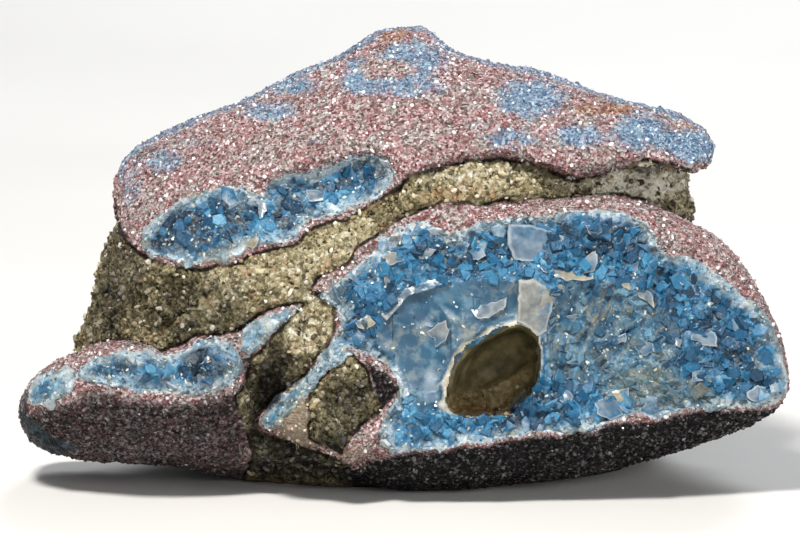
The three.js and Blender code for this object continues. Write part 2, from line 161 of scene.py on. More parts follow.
LEFT_TIP_BLUE = (
    (-44.7, 12.2), (-43.5, 13.7), (-41.6, 14.5), (-39.9, 15.0), (-38.8, 14.3), (-38.9, 13.0),
    (-39.5, 11.8), (-41.8, 10.8), (-43.6, 10.3), (-44.7, 11.0),
)
VEIN_BLUE = (
    (-18.8, 19.2), (-17.6, 20.2), (-15.5, 21.0), (-13.5, 21.8), (-12.5, 21.8), (-13.9, 20.5),
    (-15.7, 19.0), (-17.0, 17.4), (-18.3, 16.6), (-19.0, 17.2),
)
HOLLOW_MOUTH = (
    (5.1, 10.6), (5.2, 12.5), (6.3, 16.0), (7.4, 17.3), (8.7, 18.0), (10.7, 19.1), (13.6, 20.0), (15.1, 19.3),
    (15.9, 18.4), (16.0, 16.2), (15.8, 14.3), (15.4, 13.0), (14.2, 11.9), (12.9, 10.6), (11.6, 9.7), (9.9, 9.6),
    (8.5, 9.4), (6.6, 9.6), (5.5, 10.1),
)
# A ridge on the hollow's wall, low on the right, raised and painted pale tan as painted light.
RIDGE_IN = (
    (8.8, 12.3), (12.1, 13.9), (15.4, 15.6), (15.9, 14.2), (15.6, 12.8), (13.6, 11.7), (10.7, 9.9), (9.6, 10.4),
)
SMOOTH_LOW = (
    (-2.0, 21.4), (2.2, 21.0), (4.5, 19.8), (6.3, 19.2), (8.5, 17.6), (7.4, 15.5), (5.5, 13.6),
    (4.6, 10.3), (2.2, 9.6), (0.8, 12.5), (-0.8, 15.5), (-3.3, 17.6),
)
SMOOTH_HIGH = (
    (-1.3, 23.0), (2.2, 24.8), (6.7, 25.1), (12.2, 25.4), (14.0, 24.6), (13.6, 20.2), (8.5, 18.0),
    (6.3, 18.6), (4.5, 19.8), (-0.3, 20.4),
)
FACET = (
    (13.7, 25.0), (15.3, 25.6), (17.9, 23.4), (17.7, 21.6), (17.0, 19.0), (15.9, 18.7), (14.6, 19.7),
    (13.5, 20.4),
)
BOWL = (
    (17.9, 22.8), (20.1, 24.2), (23.7, 24.7), (27.5, 23.5), (30.3, 21.8), (32.7, 19.2), (33.3, 16.6),
    (31.9, 13.8), (28.5, 12.6), (23.7, 12.7), (19.5, 13.2), (17.1, 14.2), (16.6, 17.4),
)
# The deep blue middles of the small windows.
CORES = (
    ((-29.7, 31.3), (-27.5, 33.1), (-24.4, 33.7), (-23.2, 32.2), (-22.6, 29.8), (-23.8, 28.8), (-26.3, 28.8),
     (-28.5, 29.5)),
    ((-23.2, 34.9), (-20.5, 36.2), (-17.5, 35.3), (-16.9, 33.1), (-18.3, 31.3), (-19.9, 31.9), (-22.0, 33.5)),
    ((-22.0, 31.3), (-19.6, 31.3), (-19.9, 30.4), (-21.4, 30.4), (-22.4, 29.2)),
    ((-15.6, 35.0), (-12.8, 34.7), (-10.1, 34.1), (-10.4, 33.5), (-12.8, 32.2), (-13.7, 30.7), (-15.3, 31.9)),
    ((-14.1, 36.7), (-9.2, 36.8), (-6.1, 37.4), (-5.8, 36.5), (-9.2, 35.6), (-13.5, 36.0)),
    ((-6.1, 38.6), (-3.7, 39.8), (-1.9, 39.0), (-1.5, 37.7), (-3.7, 36.8), (-5.8, 37.4)),
    ((-33.7, 15.4), (-32.1, 16.0), (-31.1, 15.4), (-31.5, 13.9), (-33.1, 13.7), (-33.9, 14.2)),
    ((-25.5, 16.6), (-23.8, 17.2), (-21.7, 16.8), (-20.0, 15.6), (-20.5, 13.9), (-22.6, 12.7), (-24.3, 12.5),
     (-26.2, 13.7), (-26.9, 14.9)),
    ((-41.1, 13.2), (-39.7, 13.6), (-39.4, 12.5), (-40.6, 12.2)),
)
# Under the large and the left lobe, where shade is painted on rind that is also darker.
UNDER_LARGE = (
    (-2.0, 4.0), (2.1, 4.7), (5.5, 5.0), (8.1, 5.4), (14.1, 6.2), (17.9, 6.7), (22.4, 7.1),
    (26.1, 8.4), (29.7, 8.4), (34.1, 9.4), (41.5, 9.7), (44.6, 10.1), (48.9, 10.6), (48.9, -6.0),
    (-9.3, -6.0), (-6.9, 2.4),
)
UNDER_LEFT = (
    (-44.0, 9.8), (-41.1, 10.4), (-38.7, 11.4), (-37.5, 12.5), (-32.9, 11.8), (-29.6, 11.3),
    (-26.7, 11.0), (-23.8, 11.2), (-19.7, 12.5), (-18.3, 11.8), (-18.3, -6.0), (-49.5, -6.0),
    (-49.5, 10.6),
)
# A recess right of the knob, where shade is painted.
RECESS = (
    (-4.4, 15.4), (-3.2, 14.9), (-1.7, 13.9), (-0.7, 12.7), (-0.3, 11.9), (-1.3, 10.8), (-2.6, 9.8),
    (-2.9, 11.0), (-3.3, 12.7),
)

# Flakes that lie on the broken faces: outline, thickness, how cream they are from 0 to 1, and how far
# they lean across and up, in degrees.
FLAKES = (
    (((12.5, 31.9), (15.1, 31.6), (17.3, 31.2), (19.0, 30.4), (19.1, 28.7), (17.3, 27.6), (15.1, 27.3),
      (13.3, 27.7), (12.5, 29.4)), 0.9, 0.05, 6, -10),
    (((20.2, 26.6), (21.7, 27.8), (23.0, 28.9), (22.9, 26.3), (21.3, 26.1)), 0.5, 0.25, -10, -6),
    (((16.1, 26.8), (17.9, 26.8), (20.6, 26.1), (22.7, 25.3), (21.3, 25.0), (19.1, 25.4), (17.2, 26.0)),
      0.6, 0.85, 0, 26),
    (((25.7, 25.2), (27.9, 24.6), (29.5, 23.5), (29.9, 21.7), (29.0, 22.7), (27.5, 23.8), (26.2, 24.5)),
      0.6, 0.8, 8, 22),
    (((2.7, 19.0), (4.0, 19.9), (5.2, 20.4), (5.6, 19.3), (4.9, 18.0), (4.0, 17.4), (3.7, 18.4)),
      0.7, 0.45, -14, 4),
    (((8.0, 21.7), (10.3, 22.6), (12.5, 23.0), (12.2, 22.1), (10.0, 20.5), (8.5, 20.7)),
      0.7, 0.35, -6, 14),
    (((-2.5, 28.1), (-1.1, 28.7), (0.2, 28.3), (0.0, 27.4), (-1.6, 26.9)), 0.6, 0.7, 8, 8),
    (((1.5, 28.5), (2.9, 29.1), (4.0, 28.9), (3.3, 28.0), (1.9, 27.7)), 0.5, 0.3, -6, 6),
    (((34.3, 19.3), (35.8, 19.9), (37.2, 18.4), (37.4, 17.2), (35.6, 17.6), (34.3, 18.2)),
      0.5, 0.15, -12, 4),
    (((22.7, 10.7), (24.3, 11.5), (25.6, 10.7), (26.2, 9.2), (24.7, 8.6), (23.1, 9.4)),
      0.8, 0.1, 8, 12),
    (((18.5, 12.1), (19.5, 12.5), (20.3, 11.4), (19.5, 10.3), (18.7, 10.7)), 0.5, 0.15, -8, 4),
    (((24.7, 11.9), (26.9, 12.4), (26.9, 11.0), (25.4, 10.8)), 0.7, 0.9, 8, -8),
    (((34.4, 14.3), (35.5, 14.4), (35.7, 13.2), (34.5, 13.1)), 0.5, 0.1, 10, 6),
    (((26.8, 27.2), (27.8, 27.4), (28.0, 26.3), (27.2, 26.0)), 0.4, 0.15, 12, 0),
    (((28.9, 26.1), (29.8, 25.7), (30.7, 24.2), (29.8, 24.9)), 0.4, 0.1, 14, 8),
    (((35.6, 22.4), (37.0, 22.7), (36.5, 22.0)), 0.4, 0.45, 0, 10),
    (((-2.6, 21.4), (-1.6, 23.2), (-0.2, 24.1), (1.4, 24.7), (4.4, 25.4), (5.6, 25.0), (3.7, 24.5),
      (1.4, 23.8), (-0.2, 22.9), (-1.1, 21.7), (-2.0, 20.5)), 0.5, 0.3, -12, 16),
    (((-2.6, 26.9), (-1.6, 25.7), (-1.0, 24.2), (-2.0, 24.6)), 0.4, 0.8, 10, 0),
    (((-5.5, 20.2), (-4.0, 21.0), (-3.2, 20.2), (-4.4, 19.4), (-5.3, 19.6)), 0.5, 0.85, -6, 8),
    (((13.8, 25.0), (15.4, 25.5), (16.6, 24.6), (18.0, 23.4), (17.7, 21.4), (17.0, 19.0), (16.0, 18.7),
      (14.8, 19.8), (13.6, 20.4)), 1.0, 0.6, 14, -6),
    (((17.6, 23.5), (18.4, 24.6), (19.7, 24.6), (19.6, 23.8), (18.4, 23.3)), 0.5, 0.7, 6, 10),
    (((25.4, 18.7), (26.5, 18.8), (26.3, 17.8), (25.5, 17.7)), 0.4, 0.3, -8, 8),
    (((19.5, 21.0), (20.6, 21.1), (20.4, 19.8), (19.9, 20.2)), 0.4, 0.25, 8, -6),
    (((32.3, 18.4), (33.3, 18.2), (32.9, 17.2), (32.3, 17.6)), 0.4, 0.3, -8, 6),
    (((-11.5, 35.8), (-10.1, 36.0), (-9.1, 35.6), (-9.4, 34.7), (-11.1, 34.4)), 0.6, 0.25, 4, 12),
    (((-16.7, 35.2), (-16.1, 34.4), (-16.0, 33.4), (-16.9, 32.4), (-17.2, 33.6)), 0.5, 0.3, 14, 6),
    (((-19.0, 30.1), (-17.5, 30.7), (-16.9, 30.0), (-17.8, 29.0), (-18.9, 29.2)), 0.5, 0.9, -6, 4),
    (((28.0, 17.4), (29.5, 17.9), (29.9, 16.8), (28.5, 16.3)), 0.4, 0.1, -10, 10),
    (((38.6, 20.6), (39.9, 20.2), (40.3, 18.8), (38.9, 19.3)), 0.4, 0.1, 10, 8),
    (((40.7, 11.8), (42.4, 12.7), (44.1, 12.4), (44.8, 11.5), (43.4, 10.8), (41.5, 10.8)),
      0.8, 0.2, 4, 10),
    (((32.8, 25.1), (34.5, 24.7), (35.3, 23.3), (33.8, 23.6)), 0.4, 0.05, 10, 10),
    (((7.1, 28.8), (9.1, 29.3), (10.0, 28.1), (8.3, 27.4)), 0.5, 0.05, -8, 10),
    (((21.7, 31.7), (23.2, 32.0), (24.2, 31.0), (22.7, 30.2)), 0.4, 0.05, 8, 8),
)
# A dark glassy chip at the tip of the left lobe.
TIP_GLASS = (
    (-47.0, 12.6), (-44.3, 12.8), (-44.6, 10.8), (-44.2, 8.4), (-41.1, 6.3), (-38.6, 5.5), (-41.0, 4.0),
    (-45.0, 4.4), (-47.0, 8.0),
)
SHOWS = (ROOF_SHOWS, LARGE_SHOWS, LEFT_SHOWS, VEIN_SHOWS)
BLUES = (ROOF_BLUE, LARGE_BLUE, RIM_BLUE, LEFT_BLUE, LEFT_TIP_BLUE, VEIN_BLUE)
SMALL_WINDOWS = (ROOF_BLUE, LEFT_BLUE, LEFT_TIP_BLUE)

# Soft patches on the roof where the rind is worn down to the blue: middle, half sizes, strength.
WORN = (
    (1.2, 51.6, 4.4, 2.2, 0.9), (-1.2, 48.2, 6.2, 1.3, 0.8), (-5.6, 50.0, 1.6, 2.2, 0.7),
    (-13.2, 48.4, 3.0, 1.1, 0.8), (-15.8, 45.4, 3.6, 1.2, 0.85), (-28.6, 39.4, 2.8, 1.5, 0.7),
    (-32.6, 36.6, 1.3, 3.4, 0.5), (15.2, 46.8, 4.2, 2.4, 0.9), (13.0, 41.8, 3.4, 1.3, 0.8),
    (21.0, 42.4, 3.2, 1.5, 0.85), (28.4, 42.8, 3.3, 2.3, 0.95), (34.4, 41.0, 3.2, 2.3, 1.0),
    (9.2, 43.8, 1.8, 0.6, 0.4), (-10.0, 41.8, 1.2, 0.6, 0.5), (-24.5, 41.6, 2.2, 0.8, 0.45),
)
BARE_IN_WORN = ((-1.8, 50.4, 2.9, 1.1, 1.0), (13.4, 41.4, 0.8, 0.5, 0.6))
# Where the rind or the rock is stained orange-brown.
RUSTY = (
    (-1.2, 54.6, 1.8, 0.8, 1.0), (24.0, 45.6, 5.0, 1.0, 0.7), (33.0, 43.2, 3.2, 0.8, 0.6),
    (5.0, 35.2, 3.4, 1.0, 0.7), (-16.0, 26.6, 3.0, 2.0, 0.3), (-11.0, 22.0, 4.0, 3.0, 0.35),
)
# Softer changes of tone in the blue: middle, half sizes, and how much deeper (below 0) or greyer.
TONES = (
    (20.4, 30.0, 7.4, 2.8, -0.7), (36.0, 19.2, 7.2, 4.6, -0.45), (41.2, 16.4, 3.4, 4.4, -0.4),
    (-6.4, 20.6, 3.2, 3.2, -0.45), (-3.4, 16.4, 2.6, 2.6, -0.5), (16.6, 10.2, 4.6, 2.2, -0.8),
    (9.0, 7.6, 7.0, 1.6, -0.35), (4.4, 27.6, 5.0, 1.6, -0.35), (27.0, 31.0, 4.0, 1.6, -0.3),
    (33.0, 25.0, 4.0, 2.4, -0.3), (26.0, 18.6, 8.0, 5.8, 0.25), (-0.4, 23.4, 5.0, 2.0, -0.2),
)
# Where light is painted on the rock to make it paler, most of all under the roof's lip on the right: middle, half
# sizes, strength.
LIT_ROCK = (
    (28.0, 37.0, 7.0, 2.4, 1.3), (10.0, 37.6, 10.0, 1.8, 0.4), (-8.0, 29.0, 6.0, 3.0, 0.5),
    (-12.0, 20.6, 3.0, 3.4, 0.5), (-20.0, 25.4, 4.0, 1.6, 0.4),
)
# Painted shade on the rock, in its clefts and on its left: middle, half sizes, strength.
SHADED_ROCK = (
    (-16.0, 8.0, 3.0, 7.0, 0.85), (-9.0, 3.6, 7.0, 2.6, 0.95), (-25.0, 21.6, 7.0, 4.2, 0.5),
    (-33.4, 27.4, 3.2, 5.0, 0.6), (-14.6, 14.6, 2.0, 3.2, 0.5), (-6.6, 9.6, 3.6, 5.0, 0.65),
    (-36.0, 20.0, 2.6, 5.0, 0.5),
)
# Where the blue is hazed with tan and green.
HAZY = (
    (29.0, 12.6, 5.4, 2.2, 0.9), (33.6, 11.4, 4.0, 1.6, 0.7), (-22.6, 28.0, 2.6, 1.2, 0.6),
    (-20.4, 29.4, 1.6, 1.0, 0.7), (-24.6, 35.2, 1.4, 0.6, 0.6), (-4.4, 20.0, 1.2, 0.9, 0.6),
    (-12.4, 7.6, 2.6, 3.0, 1.0), (-6.0, 4.6, 3.0, 1.4, 0.5), (1.0, 26.0, 1.6, 1.6, 0.35),
    (7.6, 19.6, 3.4, 0.8, 0.3), (22.6, 18.2, 1.0, 3.0, 0.3), (-15.6, 19.2, 4.0, 3.4, 0.4),
    (-11.6, 11.0, 3.4, 4.0, 0.35), (-30.0, 12.6, 8.0, 1.4, 0.3), (-42.0, 12.0, 3.0, 2.4, 0.3),
)
# How far the sheets of agate reach to the front and to the back of their middle surface, how thick
# their rind is, and how far a sheet is let out past its outline, in millimetres.
ROOF_REACH, LARGE_REACH, LEFT_REACH = (6, 8), (12, 19), (12, 13)
RIND, LET_OUT = 3.4, 0.9
# How deep the hollow's mouth and its end lie in the front view, and how far its wall is let out.
HOLLOW_FRONT, HOLLOW_BACK, HOLLOW_LET_OUT = -20.2, -5, 1.6
# Widths of the lumps in the skin: coarse and fine grains of the rock, and sugary crystals of the rind.
COARSE, FINE, SUGARY = 1.7, 0.85, 0.62
# Shell-shaped scars on the broken faces, in millimetres: how many, least and most width, least and most depth.
SCARS = {
    "broad": (70, (2.6, 5.2), (0.5, 1.1)),
    "middle": (520, (0.9, 2.4), (0.3, 0.75)),
    "small": (4200, (0.3, 0.85), (0.12, 0.34)),
    "tiny": (6500, (0.2, 0.4), (0.08, 0.2)),
}
# Where the large lobe's break started, across and up in the front view, and as an upright place in
# millimetres. The larger scars and the streaks of the bowl point away from it.
BREAK_STARTS = (17.5, 12.0)
BREAK_STARTS_AT = (17.5, -21.0, 9.5)
# How the rings of a flake lie, from its seat to its face: share of its outline, lift as a length in
# millimetres and as a share of its thickness, and how bright its rim is.
FLAKE_RINGS = ((1.0, 0.9, 0.0, 0.0), (1.02, 0.0, -0.25, 0.5), (0.98, 0.0, -0.48, 1.0),
               (0.72, 0.0, -0.56, 0.1), (0.35, 0.0, -0.6, 0.0))
# Lamps: name, place in metres, width, power and tint.
LAMPS = (
    ("key", (-0.16, -0.40, 0.60), 0.12, 7.5, (1.0, 0.98, 0.95)),
    ("side", (0.6, -0.55, 0.24), 0.25, 2.2, (0.94, 0.97, 1.0)),
    ("front", (0.2, -0.9, 0.26), 0.3, 1.8, (1.0, 0.99, 0.97)),
    ("back", (0.2, 0.62, 0.5), 0.4, 4.0, (0.94, 0.97, 1.0)),
)
LAMPS_AIM_AT = Vector((0, 0, 0.02))
# The middle of the picture, in the front view.
CAMERA_AIMS_AT = (-0.3, 0, 26.82)
SENSOR_WIDTH = 36
FLOOR_REACH = 3


def turned_to_front(way):
    """Upright directions as directions in the front view."""
    x, y, z = way.T
    c, s = math.cos(LOOKS_DOWN), math.sin(LOOKS_DOWN)
    return np.stack((x, c * y - s * z, s * y + c * z), 1)


def to_front(place):
    """Upright places in millimetres as places in the front view."""
    return turned_to_front(place - np.array(FRONT_ORIGIN))


def to_upright(place):
    """Front view places in millimetres as upright places."""
    x, y, z = np.asarray(place, float).T
    c, s = math.cos(LOOKS_DOWN), math.sin(LOOKS_DOWN)
    return np.stack((x, c * y + s * z, c * z - s * y), 1) + np.array(FRONT_ORIGIN)


# Straight into the front view, as an upright direction.
INTO = Vector(to_upright([(0, 1, 0)])[0] - to_upright([(0, 0, 0)])[0])


def eased(value, low, high):
    """0 below low, 1 above high, and an even curve between them."""
    t = np.clip((value - low) / (high - low), 0, 1)
    return t * t * (3 - 2 * t)


def mixed(h):
    """Whole numbers stirred until they look random."""
    h = (h ^ (h >> np.uint32(16))) * np.uint32(0x7FEB352D)
    h = (h ^ (h >> np.uint32(15))) * np.uint32(0x846CA68B)
    return h ^ (h >> np.uint32(16))


def cell_numbers(cell, seed, count=1):
    """Random numbers from 0 to 1 for whole-numbered cells of space, the same each time."""
    key = cell.astype(np.int64).astype(np.uint32)
    h = mixed(key[:, 0] + mixed(key[:, 1] + mixed(key[:, 2] + np.uint32(seed * 7919 + 17))))
    rows = []
    for _ in range(count):
        rows.append(h.astype(np.float64) / (2.0**32 - 1))
        h = mixed(h + np.uint32(0x9E3779B9))
    return np.stack(rows, 1)


def wander(place, size, seed, octaves=1):
    """An irregular height about 0, mostly between -1 and 1, with swells of a size in millimetres."""
    total, weight, sum_of = np.zeros(len(place)), 1.0, 0.0
    for octave in range(octaves):
        at = place / size * 2**octave + octave * 13.7
        cell = np.floor(at)
        t = at - cell
        t = t * t * (3 - 2 * t)
        height = np.zeros(len(place))
        for corner in np.ndindex(2, 2, 2):
            share = np.ones(len(place))
            for axis in range(3):
                share = share * (t[:, axis] if corner[axis] else 1 - t[:, axis])
            height += share * cell_numbers(cell + corner, seed + octave)[:, 0]
        total += weight * (height * 2 - 1)
        sum_of += weight
        weight *= 0.5
    return total / sum_of * 1.4


def nearest_grain(place, size, seed):
    """The way from the middle of the nearest grain, and that grain's four numbers."""
    at = place / size
    cell = np.floor(at)
    best = np.full(len(place), FAR)
    way = np.zeros((len(place), 3))
    numbers = np.zeros((len(place), 4))
    for step in np.ndindex(3, 3, 3):
        near = cell + np.array(step) - 1
        found = cell_numbers(near, seed, 4)
        away = at - near - (0.15 + 0.7 * found[:, :3])
        far = (away**2).sum(1)
        closer = far < best
        best = np.where(closer, far, best)
        way[closer] = away[closer]
        numbers[closer] = found[closer]
    return way * size, numbers


def chipped(place, size, slope, step, seed):
    """Heights of a surface broken into flat tilted chips with steps between them."""
    bent = place + 0.22 * size * np.stack([wander(place, size * 0.9, seed + n) for n in (1, 2, 3)], 1)
    way, numbers = nearest_grain(bent, size, seed)
    tilt = numbers[:, :3] * 2 - 1
    return (way * tilt).sum(1) * slope + (numbers[:, 3] - 0.5) * step


def grainy(place, size, seed):
    """Heights from 0 to 1 of rounded grains that touch."""
    way, numbers = nearest_grain(place, size, seed)
    dome = 1 - np.clip((way**2).sum(1) / (0.62 * size) ** 2, 0, 1)
    return dome * (0.55 + 0.45 * numbers[:, 3])


def inside_by(outline, across, up):
    """How far inside a closed outline each place lies in millimetres, less than 0 outside it."""
    corners = np.array(outline, float)
    far = np.full(len(across), FAR)
    within = np.zeros(len(across), bool)
    for (ax, az), (bx, bz) in zip(corners, np.roll(corners, -1, 0)):
        ex, ez = bx - ax, bz - az
        t = np.clip(((across - ax) * ex + (up - az) * ez) / (ex * ex + ez * ez), 0, 1)
        far = np.minimum(far, np.hypot(across - ax - t * ex, up - az - t * ez))
        if ez:
            within ^= ((az > up) != (bz > up)) & (across < ex * (up - az) / ez + ax)
    return np.where(within, far, -far)


def inside_any(outlines, across, up):
    """How far inside the nearest of some outlines each place lies, less than 0 outside them all."""
    return np.maximum.reduce([inside_by(outline, across, up) for outline in outlines])


def in_spots(spots, across, up, soft=0.35):
    """The sum of soft oval spots at each place."""
    total = np.zeros(len(across))
    for x, z, half_x, half_z, strength in spots:
        arm = np.hypot((across - x) / half_x, (up - z) / half_z)
        total += strength * (1 - eased(arm, 1 - soft, 1 + soft))
    return total


def deep_in_sheets(front):
    """How deep in the nearest sheet or lobe each place is, from its outer skin, in millimetres."""
    x, y, z = front.T

    def within(outline, behind, reach, leaning=1.0):
        """How deep a place is in one sheet, from how far behind the sheet's middle surface it lies."""
        before, after = reach
        return np.minimum(inside_by(outline, x, z), np.minimum(behind + before, after - behind) * leaning)

    lip = 39 - 0.0056 * np.maximum(0, 14 - x) ** 2
    behind_roof = y - (-17 + 0.004 * (x + 4) ** 2 + 1.1 * np.maximum(0, z - lip))
    behind_large = y - (-12.6 + 0.1 * np.maximum(0, x - 20) + np.maximum(0, 7.2 + 0.1 * x - z))
    behind_left = y - (-11.2 + 0.25 * np.maximum(0, -34 - x) + 0.9 * np.maximum(0, 12.6 - z))
    return LET_OUT + np.maximum.reduce([
        within(ROOF_SHEET, behind_roof, ROOF_REACH, np.where(z > lip, 0.67, 1.0)),
        within(LARGE_LOBE, behind_large, LARGE_REACH), within(LEFT_LOBE, behind_left, LEFT_REACH)])


def zones(place, normal):
    """What each place of the skin is made of, and where light and shade are painted on it: arrays by name, with a
    number for each place.

    Where a place faces the front, the outlines above decide, and elsewhere how deep it lies in a sheet."""
    front = to_front(place)
    faces = turned_to_front(normal)
    x, y, z = front.T
    shake = np.stack([wander(front, 1.7, seed, 2) for seed in (31, 32)], 1) * 0.28
    u, w = x + shake[:, 0], z + shake[:, 1]
    in_view = eased(-faces[:, 1], 0.02, 0.22)

    def over(outlines, low, high):
        """1 inside any of some outlines and 0 outside them, with a soft edge."""
        return eased(inside_any(outlines, u, w), low, high)

    shown = np.minimum(inside_any(SHOWS, u, w), -inside_by(KNOB_SHOWS, u, w))
    deep = deep_in_sheets(front) + 0.5 * wander(front, 2.3, 41, 2)
    sheet = np.clip(in_view * shown + (1 - in_view) * deep, -6, 6)
    blue = np.clip(in_view * inside_any(BLUES, u, w) + (1 - in_view) * (deep - RIND), -6, 6)
    mouth = inside_by(HOLLOW_MOUTH, u, w)
    down_in = np.where(mouth > -1.0, np.clip(y + 19.6, 0, 9), 0) * in_hollow(front)

    tone = in_spots(TONES, u, w, 0.5) * in_view
    small = over(SMALL_WINDOWS, -0.5, 0.3) * in_view
    tone = tone + small * (1.5 * over(CORES, -0.7, 0.5) * -1 + 0.3)
    tone = tone + 0.55 * over([RIM_BLUE], -0.3, 0.3) * in_view
    tone = tone + 0.5 * over([VEIN_BLUE], -0.3, 0.3) * in_view
    # On the rock this number is painted light, which makes the rock paler in spots.
    tone = np.where(sheet < 0, in_spots(LIT_ROCK, u, w, 0.6) * in_view, tone)

    roof_top = over([ROOF_SHOWS], 0, 1) * (faces[:, 2] > -0.3)
    worn = np.clip(in_spots(WORN, u, w, 0.55) - in_spots(BARE_IN_WORN, u, w, 0.5), 0, 1) * roof_top
    # A band along the roof's outline on top is painted pale blue as well: a painted glow of light through its edge.
    worn = np.maximum(worn, roof_top * 0.75 * eased(-inside_by(ROOF_SHEET, u, w), -1.3, -0.2)
                      * (z > 37) * (x > -34))
    # Painted shade, with some darker rind: under the lobes, in the recess by the knob, in the rock's clefts and on
    # its left, and away from the front wherever the skin faces down.
    grime = np.maximum.reduce([
        over([UNDER_LARGE], -0.5, 0.4), 0.72 * over([UNDER_LEFT], -0.6, 1.2), 0.9 * over([RECESS], -0.4, 0.3),
        (shown < 0) * in_spots(SHADED_ROCK, u, w, 0.5)])
    under = eased(-faces[:, 2], 0.2, 0.8)
    return {
        "sheet": sheet, "blue": blue, "hollow": down_in, "tone": tone, "worn": worn,
        "smooth": over((SMOOTH_LOW, SMOOTH_HIGH, FACET), -0.5, 0.5) * in_view,
        "facet": over([FACET], -0.3, 0.3) * in_view,
        "bowl": over([BOWL], -1.2, 1.2) * in_view,
        "grime": np.clip(grime * in_view + 0.55 * under * (1 - in_view), 0, 1),
        "rust": np.clip(in_spots(RUSTY, u, w, 0.6) * in_view, 0, 1),
        "haze": np.clip(in_spots(HAZY, u, w, 0.5) * in_view, 0, 1),
        "glass": over([TIP_GLASS], -0.2, 0.3) * in_view,
        "ledge": over([RIDGE_IN], -0.1, 0.9) * in_hollow(front),
        "mouth": np.clip(mouth, -6, 6) * in_view - 6 * (1 - in_view),
    }


def in_hollow(front):
    """1 where a place lies on the wall of the hollow and 0 elsewhere."""
    x, y, z = front.T
    near = inside_by(HOLLOW_MOUTH, x, z) > -HOLLOW_LET_OUT
    return (near & (y > HOLLOW_FRONT) & (y < HOLLOW_BACK)).astype(float)


def skin_heights(place, normal):
    """How far each place of the skin is lifted along its normal, in millimetres."""
    of = zones(place, normal)
    front = to_front(place)
    rock = eased(-of["sheet"], -0.15, 0.45)
    hollow = eased(of["hollow"], 0.3, 1.5)
    opened = eased(of["blue"], -0.15, 0.5) * (1 - rock) * (1 - hollow)
    rind = (1 - rock) * (1 - opened) * (1 - hollow)
    coarse, fine, sugar = (grainy(front, size, seed) - 0.4 for size, seed in ((COARSE, 3), (FINE, 5), (SUGARY, 7)))
    swell = wander(front, 4.6, 11, 3)
    pits = np.minimum(0, wander(front, 2.6, 19, 2) + 0.35)
    chunks = chipped(front, 4.2, 0.3, 0.9, 71) + 0.7 * chipped(front, 2.0, 0.36, 0.5, 75)
    stone = 0.5 * swell + 0.3 * coarse + 0.34 * fine + 0.7 * pits + 0.62 * chunks
    crust = 0.2 * wander(front, 3.2, 23, 2) + 0.3 * sugar + of["grime"] * (0.45 * fine + 0.4 * swell)
    in_view = eased(-turned_to_front(normal)[:, 1], -0.1, 0.2)
    shards = 0.45 * chipped(front, 5.2, 0.16, 0.5, 51) + chipped(front, 2.3, 0.26, 0.34, 61)
    broken = (1 - in_view) * shards - in_view * 1.5 * eased(of["blue"], 0.1, 0.8)
    floor = eased(-front[:, 2], -12.6, -10.6)
    wall = 0.12 * wander(front, 2.4, 81, 2) + floor * (0.5 * fine + 0.3 * coarse) + 1.1 * of["ledge"]
    height = rock * (1 - hollow) * stone + rind * crust + opened * broken + hollow * wall
    crack = np.exp(-((of["sheet"] + 0.1) / 0.3) ** 2) * in_view * (1 - hollow)
    height -= 0.75 * crack * eased(wander(front, 6.0, 91), -0.7, 0.2)
    return height * eased(place[:, 2] - 1.2 * (normal[:, 2] > -0.5), -0.2, 1.4)


def scarred(xs, zs, spots, size, depth, seed, turned=None):
    """A grid of shell-shaped scars: how deep they are, how near the ridge between two, and each one's number.

    spots are the places of their middles, size and depth the least and most of each in millimetres,
    and turned gives the way that a scar at a place points."""
    chance = np.random.default_rng(seed)
    deepest = np.zeros((len(zs), len(xs)))
    second = np.zeros_like(deepest)
    number = np.full_like(deepest, 0.5)
    pitch = xs[1] - xs[0]
    for x, z in spots:
        arm = size[0] + (size[1] - size[0]) * chance.random() ** 1.6
        deep = depth[0] + (depth[1] - depth[0]) * chance.random()
        long = arm * (1.1 + 0.9 * chance.random())
        way = turned(x, z) + 0.5 * chance.normal() if turned else chance.uniform(0, 2 * math.pi)
        lean = chance.uniform(-0.9, 0.9)
        mine = chance.random()
        left = max(0, int((x - long - xs[0]) / pitch))
        low = max(0, int((z - long - zs[0]) / pitch))
        right = int((x + long - xs[0]) / pitch) + 2
        high = int((z + long - zs[0]) / pitch) + 2
        u = xs[left:right][None, :] - x
        w = zs[low:high][:, None] - z
        along = (u * math.cos(way) + w * math.sin(way)) / long
        aside = (w * math.cos(way) - u * math.sin(way)) / arm
        height = deep * (1 - along * along - aside * aside + lean * along)
        here = (slice(low, high), slice(left, right))
        over = height > deepest[here]
        second[here] = np.where(over, deepest[here], np.maximum(second[here], height))
        deepest[here] = np.where(over, height, deepest[here])
        number[here] = np.where(over, mine, number[here])
    return deepest, 1 - eased(deepest - second, 0.0, 0.09), number


def closed_plate(within, shape):
    """A plate, closed at its rim, made of a grid's squares: the places of the grid used, and the faces.

    The faces count the places used once for the plate's front, and once more for its back."""
    inside = np.flatnonzero(within)
    order = np.full(len(within), -1)
    order[inside] = np.arange(len(inside))
    order = order.reshape(shape)
    corners = np.stack((order[:-1, :-1], order[:-1, 1:], order[1:, 1:], order[1:, :-1]), -1).reshape(-1, 4)
    corners = corners[(corners >= 0).all(1)]
    used = np.zeros(len(inside), bool)
    used[corners.ravel()] = True
    inside, corners = inside[used], (np.cumsum(used) - 1)[corners]
    count = len(inside)
    sides = np.stack((corners, np.roll(corners, -1, 1)), -1).reshape(-1, 2)
    rim = sides[~np.isin(sides @ (count, 1), sides @ (1, count))]
    walls = np.column_stack((rim[:, 1], rim[:, 0], rim[:, 0] + count, rim[:, 1] + count))
    return inside, np.vstack((corners, corners[:, ::-1] + count, walls))


